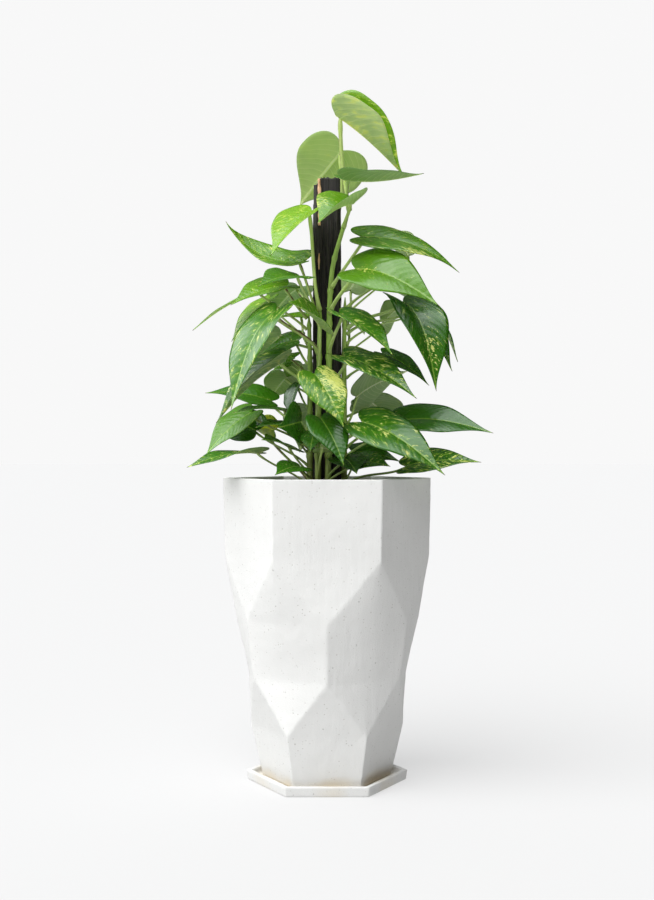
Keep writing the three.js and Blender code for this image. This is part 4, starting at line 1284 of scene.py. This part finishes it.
LEAVES = [
    # the crown
    leaf("front_right", 268, (10, -10, 364), (78, -12, 302), 66, (0.59, -0.5, 0.64), (0.2, 0.6),
         fold=52, rise=8, droop=5, bend=0.7, away=(-0.2, 1)),
    leaf("back", 262, (16, 22, 336), (-29, 50, 284), 76, (-0.2, 0.9, 0.3), (0.12, 0.1), fold=8),
    leaf("front_right", 266, (17, -38, 294), (96, -28, 302), 50, (0, -0.05, 1), (0.5, 0.15),
         fold=28, rise=-12, droop=-8),
    leaf("front_right", 250, (25, -46, 269), (-9, -82, 243), 54, (-0.45, -0.62, 0.65), (0.3, 0.3),
         fold=42, patch=(0.8, 0.75, 0.35)),
    leaf("front_left", 168, (-15, -28, 264), (-54, -66, 215), 54, (-0.56, -0.63, 0.54),
         (0.08, 0.5), fold=26),
    # upper left
    leaf("front_left", 160, (-24, -25, 215), (-100, -30, 254), 45, (-0.1, -0.5, 0.85),
         (0.35, 0.5), fold=22, rise=-40, droop=-38),
    leaf("front_left", 152, (-27, -47, 197), (-65, -92, 182), 44, (0, -0.45, 0.9), (0.45, 0.2),
         fold=18),
    leaf("left", 160, (-40, -24, 191), (-94, -50, 169), 50, (-0.2, -0.5, 0.8), (0.3, 0.35),
         fold=20),
    leaf("left", 150, (-66, -8, 188), (-135, -10, 148), 45, (-0.3, -0.1, 0.95), (0.2, 0.5),
         fold=12),
    leaf("left", 138, (-60, 26, 184), (-97, 4, 138), 40, (-0.6, -0.4, 0.5), (0.2, 0.5), fold=15),
    # left, middle height
    leaf("front_left", 125, (-50, -60, 162), (-91, -84, 66), 64, (-0.73, -0.57, 0.37), (0.5, 0.5),
         fold=15, rise=28, droop=10),
    leaf("front_left", 80, (-43, -42, 115), (-108, -52, 54), 55, (-0.5, -0.3, 0.8), (0.75, 0.5),
         fold=38),
    leaf("front_left", 108, (-6, -50, 148), (-37, -92, 168), 44, (0.43, -0.48, 0.76), (0.4, 0.5),
         fold=28),
    # right, middle height
    leaf("front_right", 125, (13, -45, 161), (63, -78, 118), 50, (0.5, -0.5, 0.7), (0.5, 0.5),
         fold=22),
    leaf("front_right", 85, (19, -47, 119), (86, -72, 77), 52, (0.4, -0.56, 0.72), (0.78, 0.55),
         fold=18),
    leaf("front_right", 165, (28, -46, 205), (108, -63, 167), 68, (0.28, -0.74, 0.61),
         (0.35, 0.12), fold=17, rise=28, droop=15, patch=(0.08, 0.12, 0.03)),
    leaf("front_right", 190, (35, -24, 240), (133, -10, 206), 54, (0.29, -0.52, 0.79), (0.4, 0.4),
         fold=12, rise=22, droop=20, patch=(0.85, 0.66, 0.3)),
    leaf("right", 160, (24, 30, 193), (38, 60, 228), 40, (0.3, 0.85, 0.4), (0.4, 0.1), fold=12),
    leaf("right", 132, (20, 22, 168), (40, 62, 150), 44, (-0.1, -0.5, 0.85), (0.5, 0.2), fold=14),
    leaf("right", 124, (58, 34, 160), (84, 68, 184), 36, (0.2, 0.8, 0.5), (0.4, 0.15), fold=12),
    leaf("right", 150, (76, -15, 176), (106, -55, 85), 62, (0.5, -0.75, 0.4), (0.7, 0.3), fold=24,
         rise=38, droop=15, patch=(-0.12, 0.58, 0.05)),
    leaf("right", 145, (84, 14, 172), (126, -8, 107), 50, (0.7, -0.5, 0.5), (0.85, 0.25), fold=20,
         rise=25),
    leaf("right", 135, (104, 52, 182), (137, 46, 120), 38, (0.85, -0.15, 0.5), (0.6, 0.45),
         fold=20),
    # right, low
    leaf("right", 100, (57, 5, 126), (103, -5, 93), 46, (0.1, -0.3, 0.95), (0.8, 0.1), fold=14),
    leaf("right", 54, (29, -4, 82), (84, 32, 110), 46, (-0.2, 0.75, 0.6), (0.6, 0.1), fold=10),
    leaf("right", 30, (48, 16, 56), (90, 54, 40), 50, (0.05, -0.55, 0.83), (0.85, 0.1), fold=12),
    leaf("front_right", 22, (34, -62, 55), (112, -82, 4), 62, (0.38, -0.67, 0.64), (0.7, 0.45),
         fold=13, rise=22, droop=12),
    leaf("right", 22, (75, -5, 58), (167, -10, 45), 50, (0.1, -0.6, 0.75), (0.72, 0.08), fold=15,
         rise=20),
    leaf("right", -8, (79, -20, 12), (152, -35, 16), 46, (0.1, -0.5, 0.85), (0.85, 0.6), fold=15),
    leaf("front_right", -4, (28, -26, 16), (62, -45, 12), 40, (0, -0.5, 0.85), (0.6, 0.4),
         fold=15),
    # front, low
    leaf("front_left", 62, (-12, -70, 101), (16, -92, 49), 46, (0.35, -0.8, 0.45), (0.45, 0.6),
         fold=12, patch=(-0.6, 0.25, 0.42)),
    leaf("front_left", 20, (-6, -72, 58), (16, -95, 13), 42, (0.5, -0.8, 0.3), (0.75, 0.05),
         fold=12),
    leaf("front_left", 30, (-25, -40, 56), (-47, -85, 49), 42, (0.8, -0.55, 0.15), (0.75, 0.05),
         fold=10),
    # left, low
    leaf("left", -8, (-67, -25, 26), (-137, -45, 11), 38, (0.2, 0.3, 0.9), (0.6, 0.5), fold=15,
         twist=-60),
    leaf("left", 30, (-76, -8, 66), (-121, -24, 22), 44, (-0.5, -0.6, 0.5), (0.4, 0.2), fold=16),
    leaf("left", 42, (-58, 29, 79), (-126, 29, 87), 46, (-0.1, -0.45, 0.9), (0.55, 0.15),
         fold=16),
    leaf("front_left", 34, (-40, -32, 67), (-90, -64, 64), 42, (0, -0.15, 1), (0.5, 0.2),
         fold=12),
    leaf("back", 70, (-42, 42, 105), (-62, 62, 79), 40, (-0.35, 0.8, 0.45), (0.4, 0.1), fold=12),
    leaf("left", 70, (-29, 9, 95), (-37, -6, 62), 36, (-0.75, -0.35, 0.3), (0.8, 0.05), fold=20),
    leaf("left", -2, (-60, 17, 43), (-80, 11, 55), 46, (-0.3, -0.6, 0.7), (0.25, 0.8), fold=5,
         bend=2, away=(-1, 0.7), patch=(0.3, 0.35, 0.7)),
    leaf("left", 6, (-37, -6, 30), (-64, -46, 38), 42, (0.05, -0.45, 0.9), (0.5, 0.2), fold=14),
    leaf("front_left", -8, (-26, -40, 12), (-50, -74, 4), 34, (0, -0.5, 0.85), (0.6, 0.15),
         fold=12),
    # left, behind
    leaf("left", 134, (-24, 34, 166), (-57, 54, 166), 40, (0, -0.25, 0.97), (0.25, 0.4), fold=14),
    leaf("left", 114, (-30, 15, 140), (-69, 35, 127), 44, (-0.1, -0.5, 0.85), (0.45, 0.2),
         fold=14),
    leaf("left", 104, (-34, -8, 121), (-69, 4, 112), 38, (0, -0.3, 0.95), (0.4, 0.5), fold=14),
    # behind the post
    leaf("right", 172, (62, 40, 213), (100, 74, 180), 52, (0.3, 0.5, 0.8), (0.5, 0.3), fold=16,
         rise=20),
    leaf("back", 120, (-48, 54, 150), (-86, 88, 100), 54, (-0.4, 0.7, 0.5), (0.6, 0.3), fold=16,
         rise=20),
    leaf("back", 45, (45, 50, 80), (80, 94, 40), 54, (0.3, 0.7, 0.5), (0.7, 0.25), fold=14,
         rise=20),
    leaf("back", 35, (-15, 50, 70), (-30, 98, 25), 56, (-0.1, 0.8, 0.5), (0.7, 0.3), fold=14,
         rise=20),
    leaf("back", 155, (-30, 46, 198), (-62, 84, 168), 50, (-0.3, 0.5, 0.8), (0.5, 0.3), fold=14,
         rise=20),
    leaf("back", 5, (60, 50, 35), (110, 80, 8), 50, (0.4, 0.4, 0.8), (0.75, 0.3), fold=14,
         rise=20),
]
SMALL_LEAVES = [
    leaf("right", 165, (84, 10, 226), (63, 40, 259), 34, (0.2, 0.8, 0.5), (0.35, 0.1)),
    leaf("front_right", 2, (17, -30, 20), (29, -62, 5), 40, (0.1, -0.6, 0.8), (0.8, 0.05)),
    leaf("right", 0, (27, 0, 26), (75, 0, 16), 36, (0, -0.5, 0.85), (0.7, 0.1)),
    leaf("front_left", 15, (-12, -50, 45), (-16, -75, 26), 26, (-0.2, -0.85, 0.4), (0.75, 0.25)),
    leaf("front_left", -6, (-7, -55, 31), (10, -40, 26), 24, (0.1, 0.7, 0.6), (0.3, 0.1)),
    leaf("left", 95, (-25, 35, 117), (-39, 60, 94), 34, (-0.3, 0.8, 0.5), (0.35, 0.1)),
    leaf("left", 12, (-72, -5, 48), (-111, 30, 58), 42, (-0.2, -0.75, 0.6), (0.8, 0.1)),
    leaf("left", 100, (-37, 25, 120), (-58, 34, 108), 30, (-0.1, -0.5, 0.85), (0.4, 0.2)),
    leaf("left", 25, (-35, -30, 53), (-70, -50, 50), 36, (0, -0.2, 1), (0.5, 0.15)),
]
print("leaves", len(LEAVES), "small leaves", len(SMALL_LEAVES))

# %% Grow the leaves
for number, leaf in enumerate(LEAVES, 1):
    build_leaf(f"blade_{number:02d}", f"leaf_{number:02d}", leaf, number, leaf_finishes)
for number, leaf in enumerate(SMALL_LEAVES, 1):
    build_leaf(f"small_blade_{number:02d}", None, leaf, 60 + number, leaf_finishes)
